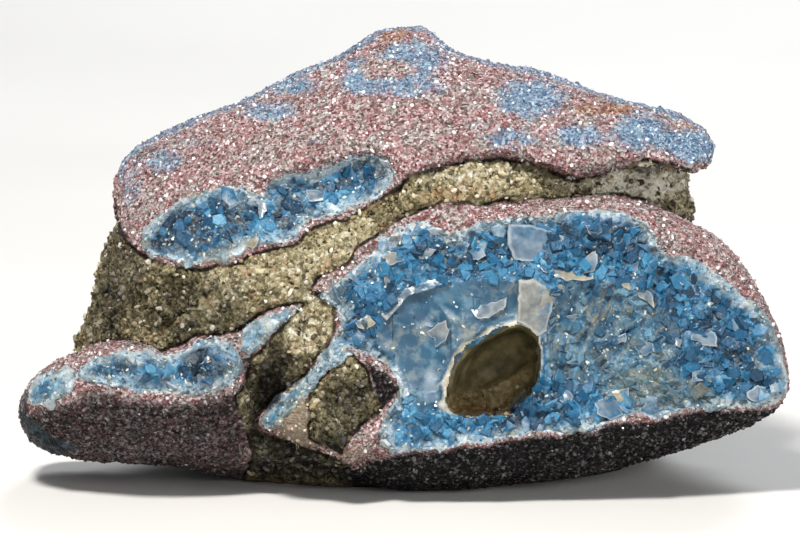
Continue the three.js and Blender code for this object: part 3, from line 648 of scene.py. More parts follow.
def threes(rows, what):
    """Three numbers of each of a mesh's vertices or normals, as an array."""
    values = np.zeros(len(rows) * 3, np.float32)
    rows.foreach_get(what, values)
    return values.reshape(-1, 3).astype(float)


def places_of(mesh):
    """A mesh's vertices as upright places in millimetres."""
    return threes(mesh.vertices, "co") / MM


def normals_of(mesh):
    """The normals at a mesh's vertices."""
    return threes(mesh.vertex_normals, "vector")


def moved(mesh, place):
    """Moves a mesh's vertices to upright places in millimetres."""
    mesh.vertices.foreach_set("co", (place * MM).astype(np.float32).ravel())
    mesh.update()


def store(mesh, name, values):
    """Stores a number at each of a mesh's vertices."""
    mesh.attributes.new(name, "FLOAT", "POINT").data.foreach_set("value", values.astype(np.float32))


def stored(mesh, name):
    """One of the numbers stored at a mesh's vertices."""
    values = np.zeros(len(mesh.vertices), np.float32)
    mesh.attributes[name].data.foreach_get("value", values)
    return values.astype(float)


def shaded(mesh, degrees):
    """Shades a mesh smoothly but for its edges that are sharper than an angle."""
    mesh.polygons.foreach_set("use_smooth", np.ones(len(mesh.polygons), bool))
    mesh.set_sharp_from_angle(angle=math.radians(degrees))


def closed(shell, mesh):
    """Writes a built shell to a mesh, with its faces outward."""
    bmesh.ops.recalc_face_normals(shell, faces=shell.faces)
    shell.to_mesh(mesh)
    shell.free()


def triangles_in(mesh):
    """How many triangles a mesh's faces come to."""
    return sum(len(face.vertices) - 2 for face in mesh.polygons)


def eased_ledge(mesh):
    """Rounds off the skin round the roof's window, where the break runs out into the rind."""
    reach, passes, pull = 2.6, 90, 0.8
    place = places_of(mesh)
    x, y, z = to_front(place).T
    share = np.exp(-((inside_by(ROOF_BLUE, x, z) / reach) ** 2)) * (y < 0)
    near = np.flatnonzero(share > 0.02)
    edges = np.zeros(len(mesh.edges) * 2, np.int32)
    mesh.edges.foreach_get("vertices", edges)
    edges = edges.reshape(-1, 2)
    beside = np.isin(edges, near).any(1)
    a, b = np.concatenate((edges[beside], edges[beside][:, ::-1])).T
    count = np.maximum(np.bincount(a, minlength=len(place)), 1)
    for _ in range(passes):
        middle = np.stack([np.bincount(a, place[b, n], len(place)) for n in range(3)], 1) / count[:, None]
        place[near] += (pull * share[:, None] * (middle - place))[near]
    moved(mesh, place)


def struck(surface, spots):
    """How deep the front view meets a surface at spots across and up, in millimetres, or nan past it."""
    depths = []
    for x, z in spots:
        hit = surface.ray_cast(Vector(to_upright([(x, -60, z)])[0] * MM), INTO)[0]
        depths.append(np.nan if hit is None else to_front(np.array([hit]) / MM)[0][1])
    return np.array(depths)


def made_plain(piece):
    """Applies a piece's modifiers to its mesh."""
    graph = bpy.context.evaluated_depsgraph_get()
    piece.data = bpy.data.meshes.new_from_object(piece.evaluated_get(graph))
    piece.modifiers.clear()


def thinned(piece, most):
    """Brings a piece down to a number of triangles where it has more."""
    count = triangles_in(piece.data)
    if count > most:
        fewer = piece.modifiers.new("Fewer", "DECIMATE")
        fewer.ratio = most / count
        fewer.use_collapse_triangulate = True
        made_plain(piece)


def kept_in_box(place):
    """Upright places in millimetres, moved inside the solid's box where they are past it."""
    low, high = (np.array(corner) / MM for corner in CAD_BOX)
    return np.clip(place, low + 0.002, high - 0.002)


def new_piece(name, mesh, material):
    """A piece of the stone, in the scene, with its one material."""
    piece = bpy.data.objects.new(name, mesh)
    bpy.context.scene.collection.objects.link(piece)
    mesh.materials.clear()
    mesh.materials.append(material)
    return piece


def joined_to_stone(piece):
    """Keeps a finished piece inside the solid's box and says what it stands for."""
    if not 0 < triangles_in(piece.data) < MOST_TRIANGLES:
        raise RuntimeError(f"{piece.name} has {triangles_in(piece.data)} triangles")
    moved(piece.data, kept_in_box(places_of(piece.data)))
    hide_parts(NODE)
    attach(piece, "root")


def new_node(tree, kind, settings, values):
    """The outputs of a new node: its settings are made first, then its sockets get values or links."""
    made = tree.nodes.new(kind)
    for key, value in (settings or {}).items():
        if key == "stops":
            ramp = made.color_ramp
            while len(ramp.elements) < len(value):
                ramp.elements.new(0.5)
            for element, (at, colour) in zip(ramp.elements, value):
                element.position = at
                element.color = colour
        else:
            setattr(made, key, value)
    for key, value in (values or {}).items():
        socket = made.inputs[key] if isinstance(key, int) else next(
            one for one in made.inputs if one.name == key and one.enabled)
        if isinstance(value, Wire):
            value = value.socket
        if isinstance(value, bpy.types.NodeSocket):
            tree.links.new(value, socket)
        else:
            socket.default_value = value
    return made.outputs


class Wire:
    """A value that runs through a material's nodes, on which sums are written."""

    def __init__(self, finish, socket):
        """Takes the material that the value belongs to, and the socket that it comes out of."""
        self.finish, self.socket = finish, socket

    def sum(self, operation, first, second=0.0):
        """A sum of two values, worked out by a node."""
        return self.finish.node("ShaderNodeMath", {"operation": operation}, {0: first, 1: second})

    def __add__(self, other):
        return self.sum("ADD", self, other)

    def __radd__(self, other):
        return self.sum("ADD", other, self)

    def __sub__(self, other):
        return self.sum("SUBTRACT", self, other)

    def __rsub__(self, other):
        return self.sum("SUBTRACT", other, self)

    def __mul__(self, other):
        return self.sum("MULTIPLY", self, other)

    def __rmul__(self, other):
        return self.sum("MULTIPLY", other, self)

    def __abs__(self):
        return self.sum("ABSOLUTE", self)


class Finish:
    """A material in the making."""

    def __init__(self, name):
        """Starts a material whose places are in millimetres."""
        self.material = bpy.data.materials.new(name)
        self.material.use_nodes = True
        self.tree = self.material.node_tree
        self.tree.nodes.clear()
        self.place = self.scaled(self.node("ShaderNodeTexCoord", out="Object"), 1 / MM)

    def node(self, kind, settings=None, values=None, out=0):
        """A value from a new node of a kind."""
        outputs = new_node(self.tree, kind, settings, values)
        return Wire(self, outputs[out]) if outputs else None

    def vector(self, operation, first, second=(0.0, 0.0, 0.0)):
        """A sum on vectors or colours."""
        return self.node("ShaderNodeVectorMath", {"operation": operation}, {0: first, 1: second})

    def scaled(self, vector, amount):
        """A vector made longer or shorter."""
        return self.node("ShaderNodeVectorMath", {"operation": "SCALE"}, {0: vector, "Scale": amount})

    def given(self, name):
        """A number stored at the mesh's vertices."""
        return self.node("ShaderNodeAttribute", {"attribute_name": name}, out="Fac")

    def cloud(self, scale, detail=2.0, at=None, rough=0.5, out="Fac"):
        """A cloudy number about 0.5, with so many swells to a millimetre."""
        return self.node("ShaderNodeTexNoise", None, {
            "Vector": at or self.place, "Scale": scale, "Detail": detail, "Roughness": rough}, out)

    def swell(self, *cloud, **more):
        """A cloudy number about 0."""
        return self.cloud(*cloud, **more) - 0.5

    def cells(self, scale, at=None, out="Distance"):
        """Cells with so many to a millimetre: how far from the middle of one, or its colour."""
        return self.node("ShaderNodeTexVoronoi", None, {"Vector": at or self.place, "Scale": scale}, out)

    def cell_number(self, scale, at=None):
        """A random number from 0 to 1 that is the same all over a cell."""
        return self.node("ShaderNodeSeparateColor", None, {0: self.cells(scale, at, out="Color")})

    def pushed(self, vector, colour, amount):
        """A vector pushed the way that a random colour says, by up to half an amount."""
        push = self.scaled(self.vector("SUBTRACT", colour, (0.5, 0.5, 0.5)), amount)
        return self.vector("ADD", vector, push)

    def bent(self, scale, amount):
        """Places pushed about by a cloud, in millimetres."""
        return self.pushed(self.place, self.cloud(scale, 2.0, out="Color"), amount)

    def parts(self, places):
        """How far across and how high places lie, apart."""
        return [self.node("ShaderNodeSeparateXYZ", None, {0: places}, axis) for axis in ("X", "Z")]

    def ease(self, value, low, high):
        """0 where the value is below low and 1 above high, or the other way where low is the larger."""
        if low > high:
            return 1 - self.ease(value, high, low)
        return self.node("ShaderNodeMapRange", {"interpolation_type": "SMOOTHSTEP"}, {
            "Value": value, "From Min": low, "From Max": high})

    def held(self, value):
        """A value kept between 0 and 1."""
        return self.node("ShaderNodeClamp", None, {0: value})

    def ramp(self, value, stops):
        """A colour that goes with a value: (value, screen colour) for each stop."""
        return self.node("ShaderNodeValToRGB", {"stops": [(at, paint(*c)) for at, c in stops]}, {0: value})

    def mix(self, share, first, second):
        """Two colours mixed."""
        return self.node("ShaderNodeMix", {"data_type": "RGBA"}, {0: share, 6: first, 7: second}, 2)

    def between(self, share, first, second):
        """Two numbers mixed."""
        return self.node("ShaderNodeMix", {"data_type": "FLOAT"}, {0: share, 2: first, 3: second}, 0)

    def tilted(self, layers):
        """The normal, turned by a random way in each cell of the layers: (places, scale, amount) each."""
        normal = self.node("ShaderNodeNewGeometry", out="Normal")
        for at, scale, amount in layers:
            normal = self.pushed(normal, self.cells(scale, at, "Color"), amount)
        return self.vector("NORMALIZE", normal)

    def bumped(self, height, depth, normal=None):
        """The normal of a surface with a height from 0 to 1 that is depth millimetres deep."""
        values = {"Height": height, "Distance": depth * MM, "Strength": 1.0}
        if normal:
            values["Normal"] = normal
        return self.node("ShaderNodeBump", None, values)

    def shader(self, colour, roughness, normal, **constants):
        """A plain shiny or dull surface, its other sockets set to constants."""
        return self.node("ShaderNodeBsdfPrincipled", None, {
            "Base Color": colour, "Roughness": roughness, "Normal": normal,
            **{key.replace("_", " "): value for key, value in constants.items()}})

    def done(self, shader):
        """The finished material."""
        self.node("ShaderNodeOutputMaterial", None, {"Surface": shader})
        return self.material


def paint(red, green, blue):
    """A colour given as it shows on a screen, from 0 to 255, as the shaders want it."""
    return tuple((c / 255 / 12.92 if c < 10.3 else ((c / 255 + 0.055) / 1.055) ** 2.4)
                 for c in (red, green, blue)) + (1.0,)


def broken_agate(f, chip, small_chip, arris, rough, sunk):
    """The shader of broken agate, and how ragged its edge is.

    chip and small_chip give each chip its own shade, arris is 1 on the ridges between chips, rough is 0 where the
    break is smooth, and the last argument is above 0 in the hollows of the chips, where it paints shade."""
    blue, tone, smooth, facet = f.given("blue"), f.given("tone"), f.given("smooth"), f.given("facet")
    haze, bowl = f.given("haze"), f.given("bowl")
    ragged = f.swell(0.9, 5.0, rough=0.62) * 1.5 + f.swell(4.5, 2.0) * 0.5
    margin = f.ease(blue + ragged + f.swell(0.4, 4.0) * 3.0, 1.7, -0.1)
    across, up = f.parts(f.vector("SUBTRACT", f.place, BREAK_STARTS_AT))
    lean = f.node("ShaderNodeMath", {"operation": "ARCTAN2"}, {0: up, 1: across})
    reach = f.node("ShaderNodeVectorMath", {"operation": "DISTANCE"}, {0: f.place, 1: BREAK_STARTS_AT}, "Value")
    fan_place = f.node("ShaderNodeCombineXYZ", None, {0: lean * 11.0, 1: reach * 0.2, 2: 0.0})
    fan = f.between(bowl, 0.5, f.cloud(1.0, 5.0, fan_place))
    shade = 0.4 + 0.4 * f.swell(0.22, 3.0)
    shade = shade + 0.4 * (chip - 0.5) * rough + 0.34 * (small_chip - 0.5) * rough
    shade = shade + 0.4 * f.swell(2.4, 8.0, f.bent(0.5, 1.6), 0.78)
    # Painted shade darkens the hollows of the chips.
    shade = shade + 0.7 * (fan - 0.5) + tone * 0.2 - 0.3 * sunk
    body = f.ramp(f.held(shade), (
        (0.0, (3, 26, 42)), (0.2, (10, 56, 84)), (0.4, (26, 90, 126)), (0.6, (56, 122, 156)),
        (0.8, (104, 152, 176)), (1.0, (184, 204, 212))))
    slate = f.ramp(fan, (
        (0.3, (14, 38, 54)), (0.45, (36, 68, 88)), (0.52, (104, 102, 84)), (0.58, (46, 82, 104)),
        (0.75, (88, 124, 142))))
    body = f.mix(bowl * (0.45 + 0.5 * f.cloud(0.5, 3.0)), body, slate)
    # Painted shade darkens the frost in the hollows of the chips too.
    icy = f.held(0.52 + 1.5 * f.swell(2.8, 7.0, rough=0.78) + 0.5 * (small_chip - 0.5) - 0.3 * sunk)
    frost = f.ramp(icy, (
        (0.0, (20, 44, 54)), (0.3, (86, 112, 124)), (0.55, (154, 168, 174)), (0.8, (204, 208, 208)),
        (1.0, (236, 236, 234))))
    frost = f.mix(f.ease(f.cloud(1.1, 6.0, rough=0.7), 0.52, 0.62) * 0.5, frost, paint(172, 160, 132))
    body = f.mix(margin * 0.9, body, frost)
    milk = f.ramp(f.cloud(0.35, 5.0), ((0.25, (18, 50, 72)), (0.5, (32, 72, 94)), (0.75, (62, 98, 120))))
    body = f.mix(smooth * 0.88, body, milk)
    cream = f.ramp(f.cloud(0.5, 3.0), ((0.3, (116, 112, 102)), (0.7, (160, 152, 132))))
    body = f.mix(facet * 0.85, body, cream)
    hazy = f.ease(haze + f.swell(1.6, 4.0) * 0.9, 0.25, 0.8)
    body = f.mix(hazy * 0.55, body, f.ramp(f.cloud(0.8, 5.0), (
        (0.3, (30, 64, 66)), (0.5, (76, 88, 78)), (0.7, (134, 124, 94)))))
    # The ridges between chips are painted paler: partly crushed edges, partly a painted highlight.
    lines = arris * f.ease(f.cloud(0.7, 5.0, rough=0.6), 0.44, 0.66)
    body = f.mix(lines * 0.5, body, f.ramp(f.cloud(0.3, 2.0), ((0.4, (118, 152, 170)), (0.6, (176, 168, 140)))))
    flecks = f.ease(f.cloud(2.4, 4.0, rough=0.7), 0.66, 0.72) * rough
    body = f.mix(flecks * 0.6, body, paint(200, 208, 206))
    fine = f.tilted(((f.bent(2.5, 0.4), 2.7, 0.25 * rough), (f.bent(4.0, 0.2), 5.5, 0.3 * rough)))
    normal = f.bumped(f.cloud(3.0, 7.0, rough=0.72) * (0.12 + 0.88 * rough), 0.1, fine)
    shine = f.held(0.34 + 0.5 * f.swell(1.4, 3.0) + margin * 0.2 + smooth * 0.1)
    shader = f.shader(body, shine, normal, IOR=1.54, Specular_IOR_Level=0.4)
    return shader, ragged


def broken_material():
    """The broken faces of the agate, with the pale edge of the hollow."""
    f = Finish("broken_agate")
    agate, ragged = broken_agate(
        f, f.given("chip"), f.given("small_chip"), f.given("arris"), f.given("rough"), f.given("sunk"))
    mouth = f.given("mouth")
    rim = f.ease(mouth + ragged * 0.5, -0.75, -0.15)
    low = f.ease(f.parts(f.place)[1] + ragged, 10.4, 9.0)
    colour = f.mix(low * 0.75, f.ramp(f.cloud(1.0, 4.0), ((0.3, (150, 140, 116)), (0.7, (206, 200, 182)))),
                   paint(166, 98, 52))
    edging = f.shader(colour, 0.45, f.bumped(f.cloud(2.0, 4.0), 0.1), IOR=1.54)
    return f.done(f.node("ShaderNodeMixShader", None, {0: rim * 0.85, 1: agate, 2: edging}))


def stone_material():
    """The stone's skin: pink rind, rock, the hollow, and agate where the back is broken."""
    f = Finish("rind_and_rock")
    sheet, worn, grime = f.given("sheet"), f.given("worn"), f.given("grime")
    rust, haze, down_in = f.given("rust"), f.given("haze"), f.given("hollow")
    agate, ragged = broken_agate(
        f, f.cell_number(0.6, f.bent(0.8, 1.2)), f.cell_number(1.8, f.bent(1.6, 0.6)), 0.0, 1.0, 0.0)
    opened = f.ease(f.given("blue") + ragged, -0.12, 0.12)

    sugar_place = f.bent(2.4, 0.4)
    sugar = f.cell_number(3.6, sugar_place)
    hue = f.cell_number(2.3, f.bent(1.4, 0.8))
    value = f.held(0.48 + 0.7 * (sugar - 0.5) + 1.1 * f.swell(2.2, 6.0, rough=0.72))
    rosy = f.ramp(value, ((0.0, (48, 28, 28)), (0.28, (118, 76, 76)), (0.55, (162, 120, 120)),
                          (0.8, (196, 168, 168)), (1.0, (240, 234, 234))))
    ashen = f.ramp(value, ((0.0, (48, 42, 40)), (0.28, (112, 102, 96)), (0.55, (158, 150, 144)),
                           (0.8, (196, 192, 192)), (1.0, (236, 236, 238))))
    share = f.ease(hue * 0.5 + f.cloud(0.35, 4.0) * 0.9 + 0.25 * f.cloud(1.2, 2.0), 0.62, 1.05)
    pink = f.mix(share, rosy, ashen)
    tanned = f.ease(haze + f.swell(1.2, 4.0), 0.3, 0.7)
    pink = f.mix(tanned * 0.8, pink, paint(138, 126, 104))
    soft = f.mix(f.held(value * 1.1 - 0.1), paint(30, 88, 128), paint(150, 192, 214))
    # The blue shows where the rind is worn, and as a painted glow along the roof's top edge.
    blue_through_and_glow = f.ease(worn + f.swell(0.9, 7.0, rough=0.7) * 2.2, 0.2, 1.0)
    pink = f.mix(blue_through_and_glow * 0.75, pink, soft)
    stain = f.ease(rust + f.swell(1.0, 4.0) * 1.1, 0.35, 0.85)
    orange = f.ramp(value, ((0.0, (84, 48, 26)), (0.5, (158, 104, 62)), (1.0, (206, 164, 120))))
    pink = f.mix(stain * 0.6, pink, orange)
    # Painted shade, with some dirt: the rind goes near black under the lobes, in the recess by the knob and where it
    # faces down.
    shade_and_dirt = f.held(grime * (1.15 + 1.8 * f.swell(1.3, 5.0, rough=0.7)))
    pink = f.mix(shade_and_dirt, pink, f.ramp(value, (
        (0.0, (3, 3, 3)), (0.4, (9, 9, 10)), (0.7, (26, 24, 26)), (1.0, (96, 92, 94)))))

    speck = f.cell_number(1.3, f.bent(1.3, 0.9))
    small_speck = f.cell_number(3.4, f.bent(3.0, 0.4))
    # Painted light makes the rock paler in spots, most of all under the roof's lip.
    rocky = f.held(0.45 + 0.5 * f.given("tone") + 0.35 * (speck - 0.5) + 0.5 * (small_speck - 0.5)
                   + 1.1 * f.swell(1.7, 7.0, rough=0.72) + 0.9 * f.swell(0.16, 3.0))
    rock = f.ramp(rocky, (
        (0.0, (34, 31, 22)), (0.24, (84, 77, 55)), (0.48, (132, 122, 92)), (0.7, (168, 157, 124)),
        (0.88, (200, 192, 166)), (1.0, (228, 224, 208))))
    rock = f.mix(f.ease(speck, 0.9, 0.95) * 0.5, rock, paint(148, 104, 62))
    rock = f.mix(f.ease(small_speck, 0.07, 0.03) * 0.8, rock, paint(30, 27, 20))
    rock = f.mix(stain * 0.45, rock, orange)
    # The same painted shade and dirt darken the rock, in its clefts and on its left.
    rock = f.mix(shade_and_dirt * 0.92, rock, f.ramp(rocky, ((0.0, (6, 6, 4)), (0.5, (32, 32, 23)), (1.0, (92, 90, 72)))))

    is_rock = f.ease(sheet + ragged * 0.35, 0.1, -0.1)
    dull = f.mix(is_rock, pink, rock)
    # The crack between rind and rock is painted near black: a dark seam, and painted shade in its groove.
    crack = f.ease(abs(sheet + ragged * 0.3 + 0.08), 0.34, 0.1) * f.ease(f.cloud(0.4, 3.0), 0.3, 0.5)
    dull = f.mix(crack * 0.92, dull, paint(24, 15, 12))

    deep_wall = f.ramp(f.cloud(0.5, 5.0), ((0.3, (66, 60, 40)), (0.5, (104, 96, 66)), (0.75, (150, 136, 96))))
    drusy = f.ramp(f.cloud(1.6, 6.0, rough=0.7), ((0.3, (70, 58, 36)), (0.5, (142, 120, 80)), (0.7, (204, 186, 144))))
    height_in = f.parts(f.place)[1]
    low_in = f.ease(height_in + 2.0 * ragged, 13.4, 11.0)
    deep_wall = f.mix(low_in * 0.8, deep_wall, drusy)
    lining = f.ease(down_in, 0.15, 0.7)
    dull = f.mix(lining, dull, deep_wall)
    in_dull = f.held((1 - opened) + lining)
    rusty_rim = f.ease(height_in + ragged, 10.6, 9.2)
    dull = f.mix(lining * rusty_rim * 0.7, dull, paint(168, 96, 48))
    # Painted light: the ridge in the hollow is painted pale tan.
    dull = f.mix(f.given("ledge") * 0.6, dull, f.ramp(f.cloud(1.4, 5.0), (
        (0.3, (112, 92, 60)), (0.5, (168, 142, 98)), (0.7, (206, 190, 152)))))

    dull = f.mix(f.given("glass") * 0.92, dull, f.ramp(f.cloud(0.7, 5.0), (
        (0.3, (8, 14, 18)), (0.5, (30, 44, 52)), (0.68, (72, 92, 102)))))
    height = f.between(is_rock, f.cells(3.6, sugar_place) * 0.8 + value * 0.5,
                       speck * 0.4 + f.cloud(2.2, 7.0, rough=0.72) * 1.4)
    height = f.between(lining, height, f.cloud(0.8, 3.0))
    dull_normal = f.bumped(height, 0.34)
    shine = f.between(f.held(lining + f.given("glass")), f.ease(sugar, 0.86, 0.9) * -0.45 + 0.8, 0.4)
    plain = f.shader(dull, shine, dull_normal, Specular_IOR_Level=0.15)
    return f.done(f.node("ShaderNodeMixShader", None, {0: in_dull, 1: agate, 2: plain}))


def flake_material():
    """Pale flakes of agate that have sprung from the broken face."""
    f = Finish("pale_flake")
    cream = f.given("cream")
    cold = f.ramp(f.cloud(0.7, 5.0), ((0.25, (46, 78, 104)), (0.5, (84, 108, 128)), (0.8, (134, 148, 160))))
    warm = f.ramp(f.cloud(1.1, 5.0), ((0.25, (92, 90, 74)), (0.55, (140, 132, 110)), (0.85, (182, 176, 156))))
    colour = f.mix(cream, cold, warm)
    deep = f.ramp(f.cloud(1.5, 6.0, rough=0.7), ((0.3, (8, 50, 76)), (0.5, (26, 78, 108)), (0.7, (70, 112, 138))))
    fading = f.ease(f.given("fade") + f.swell(1.3, 4.0) * 0.8, 0.35, 0.85)
    colour = f.mix(fading * 0.85, colour, deep)
    colour = f.mix(f.ease(f.given("rim"), 0.4, 1.0) * 0.35, colour, paint(206, 208, 204))
    normal = f.bumped(f.cloud(1.2, 4.0), 0.12)
    shader = f.shader(colour, 0.3, normal, IOR=1.54, Coat_Weight=0.1, Coat_Roughness=0.15)
    return f.done(shader)


GRAIN_COLOURS = {
    "rock_grain": ((0.0, (40, 36, 24)), (0.25, (96, 88, 62)), (0.6, (148, 136, 102)), (0.88, (190, 180, 150)),
                   (1.0, (228, 222, 206))),
    "rind_crystal": ((0.0, (90, 54, 54)), (0.3, (156, 114, 112)), (0.6, (192, 164, 164)), (0.8, (216, 206, 206)),
                     (1.0, (246, 246, 246))),
    "pale_fleck": ((0.0, (30, 70, 94)), (0.3, (72, 112, 134)), (0.6, (116, 144, 158)), (0.85, (168, 168, 152)),
                   (1.0, (216, 216, 208))),
}


def grain_material(name, roughness, coated=0.0):
    """Grains that stand out of a surface, each of its own shade, darkened where shade and some grime are painted on
    the surface.
    """
    f = Finish(name)
    shade = f.held(f.given("shade") + 0.2 * f.swell(3.0, 3.0))
    colour = f.ramp(shade, GRAIN_COLOURS[name])
    # Blue where the rind is worn, and pale blue where a glow is painted along the roof's edge.
    colour = f.mix(f.given("worn") * 0.75, colour, f.mix(shade, paint(44, 100, 140), paint(180, 212, 228)))
    colour = f.mix(f.given("haze") * 0.5, colour, f.mix(shade, paint(90, 80, 52), paint(206, 190, 146)))
    # Painted shade, with some grime, darkens the grains where it darkens the surface below them.
    colour = f.mix(f.ease(f.given("grime"), 0.0, 0.85), colour, f.mix(shade, paint(3, 3, 3), paint(84, 80, 80)))
    return f.done(f.shader(colour, roughness, f.bumped(f.cloud(4.0, 3.0), 0.05), Coat_Weight=coated))


def shard_material():
    """Shards of the same agate, each a little lighter or darker than what it lies on."""
    f = Finish("agate_shard")
    shade = f.given("shade")
    agate, _ = broken_agate(
        f, 0.36 + 0.34 * shade, f.given("small_chip"), f.ease(shade, 0.93, 0.97), 1.0, 0.3 * (0.4 - shade))
    return f.done(agate)


def strewing(name, shape, sizes):
    """Geometry nodes that strew one small shape over a surface, as thickly as its number "where" says."""
    group = bpy.data.node_groups.new(name, "GeometryNodeTree")
    group.interface.new_socket("Geometry", in_out="OUTPUT", socket_type="NodeSocketGeometry")
    for label, kind in (("Geometry", "Geometry"), ("Density", "Float"), ("Least width", "Float"),
                        ("Most width", "Float"), ("Tilt", "Float"), ("Seed", "Int"), ("Material", "Material")):
        group.interface.new_socket(label, in_out="INPUT", socket_type="NodeSocket" + kind)

    def node(kind, settings=None, values=None):
        """A new node's outputs."""
        return new_node(group, kind, settings, values)

    def chance(kind, low, high, step):
        """A random number or vector for each point."""
        first, result = {"FLOAT": (2, 1), "FLOAT_VECTOR": (0, 0)}[kind]
        seed = node("ShaderNodeMath", {"operation": "ADD"}, {0: given["Seed"], 1: float(step)})[0]
        return node("FunctionNodeRandomValue", {"data_type": kind}, {first: low, first + 1: high, 8: seed})[result]

    given = node("NodeGroupInput")
    where = node("GeometryNodeInputNamedAttribute", {"data_type": "FLOAT"}, {"Name": "where"})["Attribute"]
    density = node("ShaderNodeMath", {"operation": "MULTIPLY"}, {0: given["Density"], 1: where})[0]
    points = node("GeometryNodeDistributePointsOnFaces", {"distribute_method": "RANDOM"}, {
        "Mesh": given["Geometry"], "Density": density, "Seed": given["Seed"]})
    shaded = node("GeometryNodeStoreNamedAttribute", {"data_type": "FLOAT", "domain": "POINT"}, {
        "Geometry": points["Points"], "Name": "shade", "Value": chance("FLOAT", 0.0, 1.0, 1)})[0]
    back = node("ShaderNodeMath", {"operation": "MULTIPLY"}, {0: given["Tilt"], 1: -1.0})[0]
    low = node("ShaderNodeCombineXYZ", None, {0: back, 1: back, 2: 0.0})[0]
    high = node("ShaderNodeCombineXYZ", None, {0: given["Tilt"], 1: given["Tilt"], 2: 2 * math.pi})[0]
    turn = node("FunctionNodeEulerToRotation", None, {0: chance("FLOAT_VECTOR", low, high, 2)})[0]
    turned = node("FunctionNodeRotateRotation", {"rotation_space": "LOCAL"}, {
        "Rotation": points["Rotation"], "Rotate By": turn})[0]
    width = chance("FLOAT", given["Least width"], given["Most width"], 3)
    uneven = chance("FLOAT_VECTOR", (0.8, 0.45, 0.5), (1.5, 1.0, 1.2), 4)
    scale = node("ShaderNodeVectorMath", {"operation": "SCALE"}, {0: uneven, "Scale": width})[0]
    one = node(shape, None, sizes)["Mesh"]
    placed = node("GeometryNodeInstanceOnPoints", None, {
        "Points": shaded, "Instance": one, "Rotation": turned, "Scale": scale})[0]
    real = node("GeometryNodeRealizeInstances", None, {"Geometry": placed})[0]
    dressed = node("GeometryNodeSetMaterial", None, {"Geometry": real, "Material": given["Material"]})[0]
    node("NodeGroupOutput", None, {"Geometry": dressed})
    return group


def strewn(name, bed, where, group, density, widest, least, tilt, seed, material):
    """A piece made of small shapes that are strewn over the mesh of another.

    density is the most of them on a square metre, widest and least are the width of the largest and
    the smallest one's share of it, and tilt is how far they lean."""
    mesh = bed.copy()
    mesh.name = name
    store(mesh, "where", where)
    piece = new_piece(name, mesh, material)
    nodes = piece.modifiers.new("Strewn", "NODES")
    nodes.node_group = group
    values = {"Density": density, "Least width": widest * least, "Most width": widest, "Tilt": tilt,
              "Seed": seed, "Material": material}
    for socket in group.interface.items_tree:
        if socket.in_out == "INPUT" and socket.name in values:
            nodes[socket.identifier] = values[socket.name]
    made_plain(piece)
    joined_to_stone(piece)


def floor_material():
    """The studio's pale floor."""
    f = Finish("pale_floor")
    colour = f.ramp(f.cloud(0.01, 2.0), ((0.3, (214, 212, 208)), (0.7, (222, 220, 216))))
    return f.done(f.shader(colour, 0.7, f.bumped(f.cloud(0.4, 2.0), 0.02)))


def length(name, description, default, low, high):
    """A setting that is a length in metres."""
    return bpy.props.FloatProperty(
        name=name, description=description, default=default, min=low, max=high, subtype="DISTANCE", unit="LENGTH")


def crowd(name, description, default):
    """A setting that says how many small shapes lie on a square metre."""
    return bpy.props.FloatProperty(name=name, description=description, default=default, min=0.0)


def triangle_limit(description, default):
    """A setting that says how many triangles a piece may have."""
    return bpy.props.IntProperty(
        name="Triangles", description=description, default=default, min=20000, max=MOST_TRIANGLES - 1)


def relief(description):
    """A setting that says how much of a relief is made."""
    return bpy.props.FloatProperty(
        name="Relief", description=description, default=1.0, min=0.0, max=1.5, subtype="FACTOR")


class AgateStone(bpy.types.PropertyGroup):
    """Sizes of the stone's skin"""
    grid: length("Detail", "Size of the smallest form in the stone's skin", 0.00032, 0.0002, 0.002)
    triangles: triangle_limit("Most triangles that the skin may have", 196000)
    relief: relief("Share of the grain and chip relief that is raised")


class AgateFaces(bpy.types.PropertyGroup):
    """Sizes of the broken faces"""
    grid: length("Detail", "Size of the smallest chip in the broken faces", 0.00015, 0.0001, 0.001)
    triangles: triangle_limit("Most triangles that the faces may have", 190000)
    relief: relief("Share of the chips' depth that is cut")


class AgateGrains(bpy.types.PropertyGroup):
    """Sizes and numbers of what is strewn"""
    rock_grain: length("Rock grain", "Width of the largest grain in the rock", 0.0009, 0.0001, 0.003)
    rock_count: crowd("Rock grains", "Grains on each square metre of rock", 800000.0)
    rind_crystal: length("Rind crystal", "Width of the largest crystal in the rind", 0.00062, 0.0001, 0.002)
    rind_count: crowd("Rind crystals", "Crystals on each square metre of rind", 900000.0)
    shard: length("Shard", "Width of the largest shard on the broken faces", 0.0024, 0.0001, 0.004)
    shard_count: crowd("Shards", "Shards on each square metre of broken face", 1700000.0)
    fleck: length("Fleck", "Width of the largest pale fleck on the broken faces", 0.0006, 0.0001, 0.002)
    fleck_count: crowd("Flecks", "Pale flecks on each square metre of broken face", 1500000.0)


class AgateStage(bpy.types.PropertyGroup):
    """Sizes of the stage"""
    distance: length("Camera distance", "How far the camera stands from the stone", 1.6, 0.3, 5.0)
    view_width: length("View width", "Width of what the camera sees at the stone", 0.096, 0.02, 1.0)


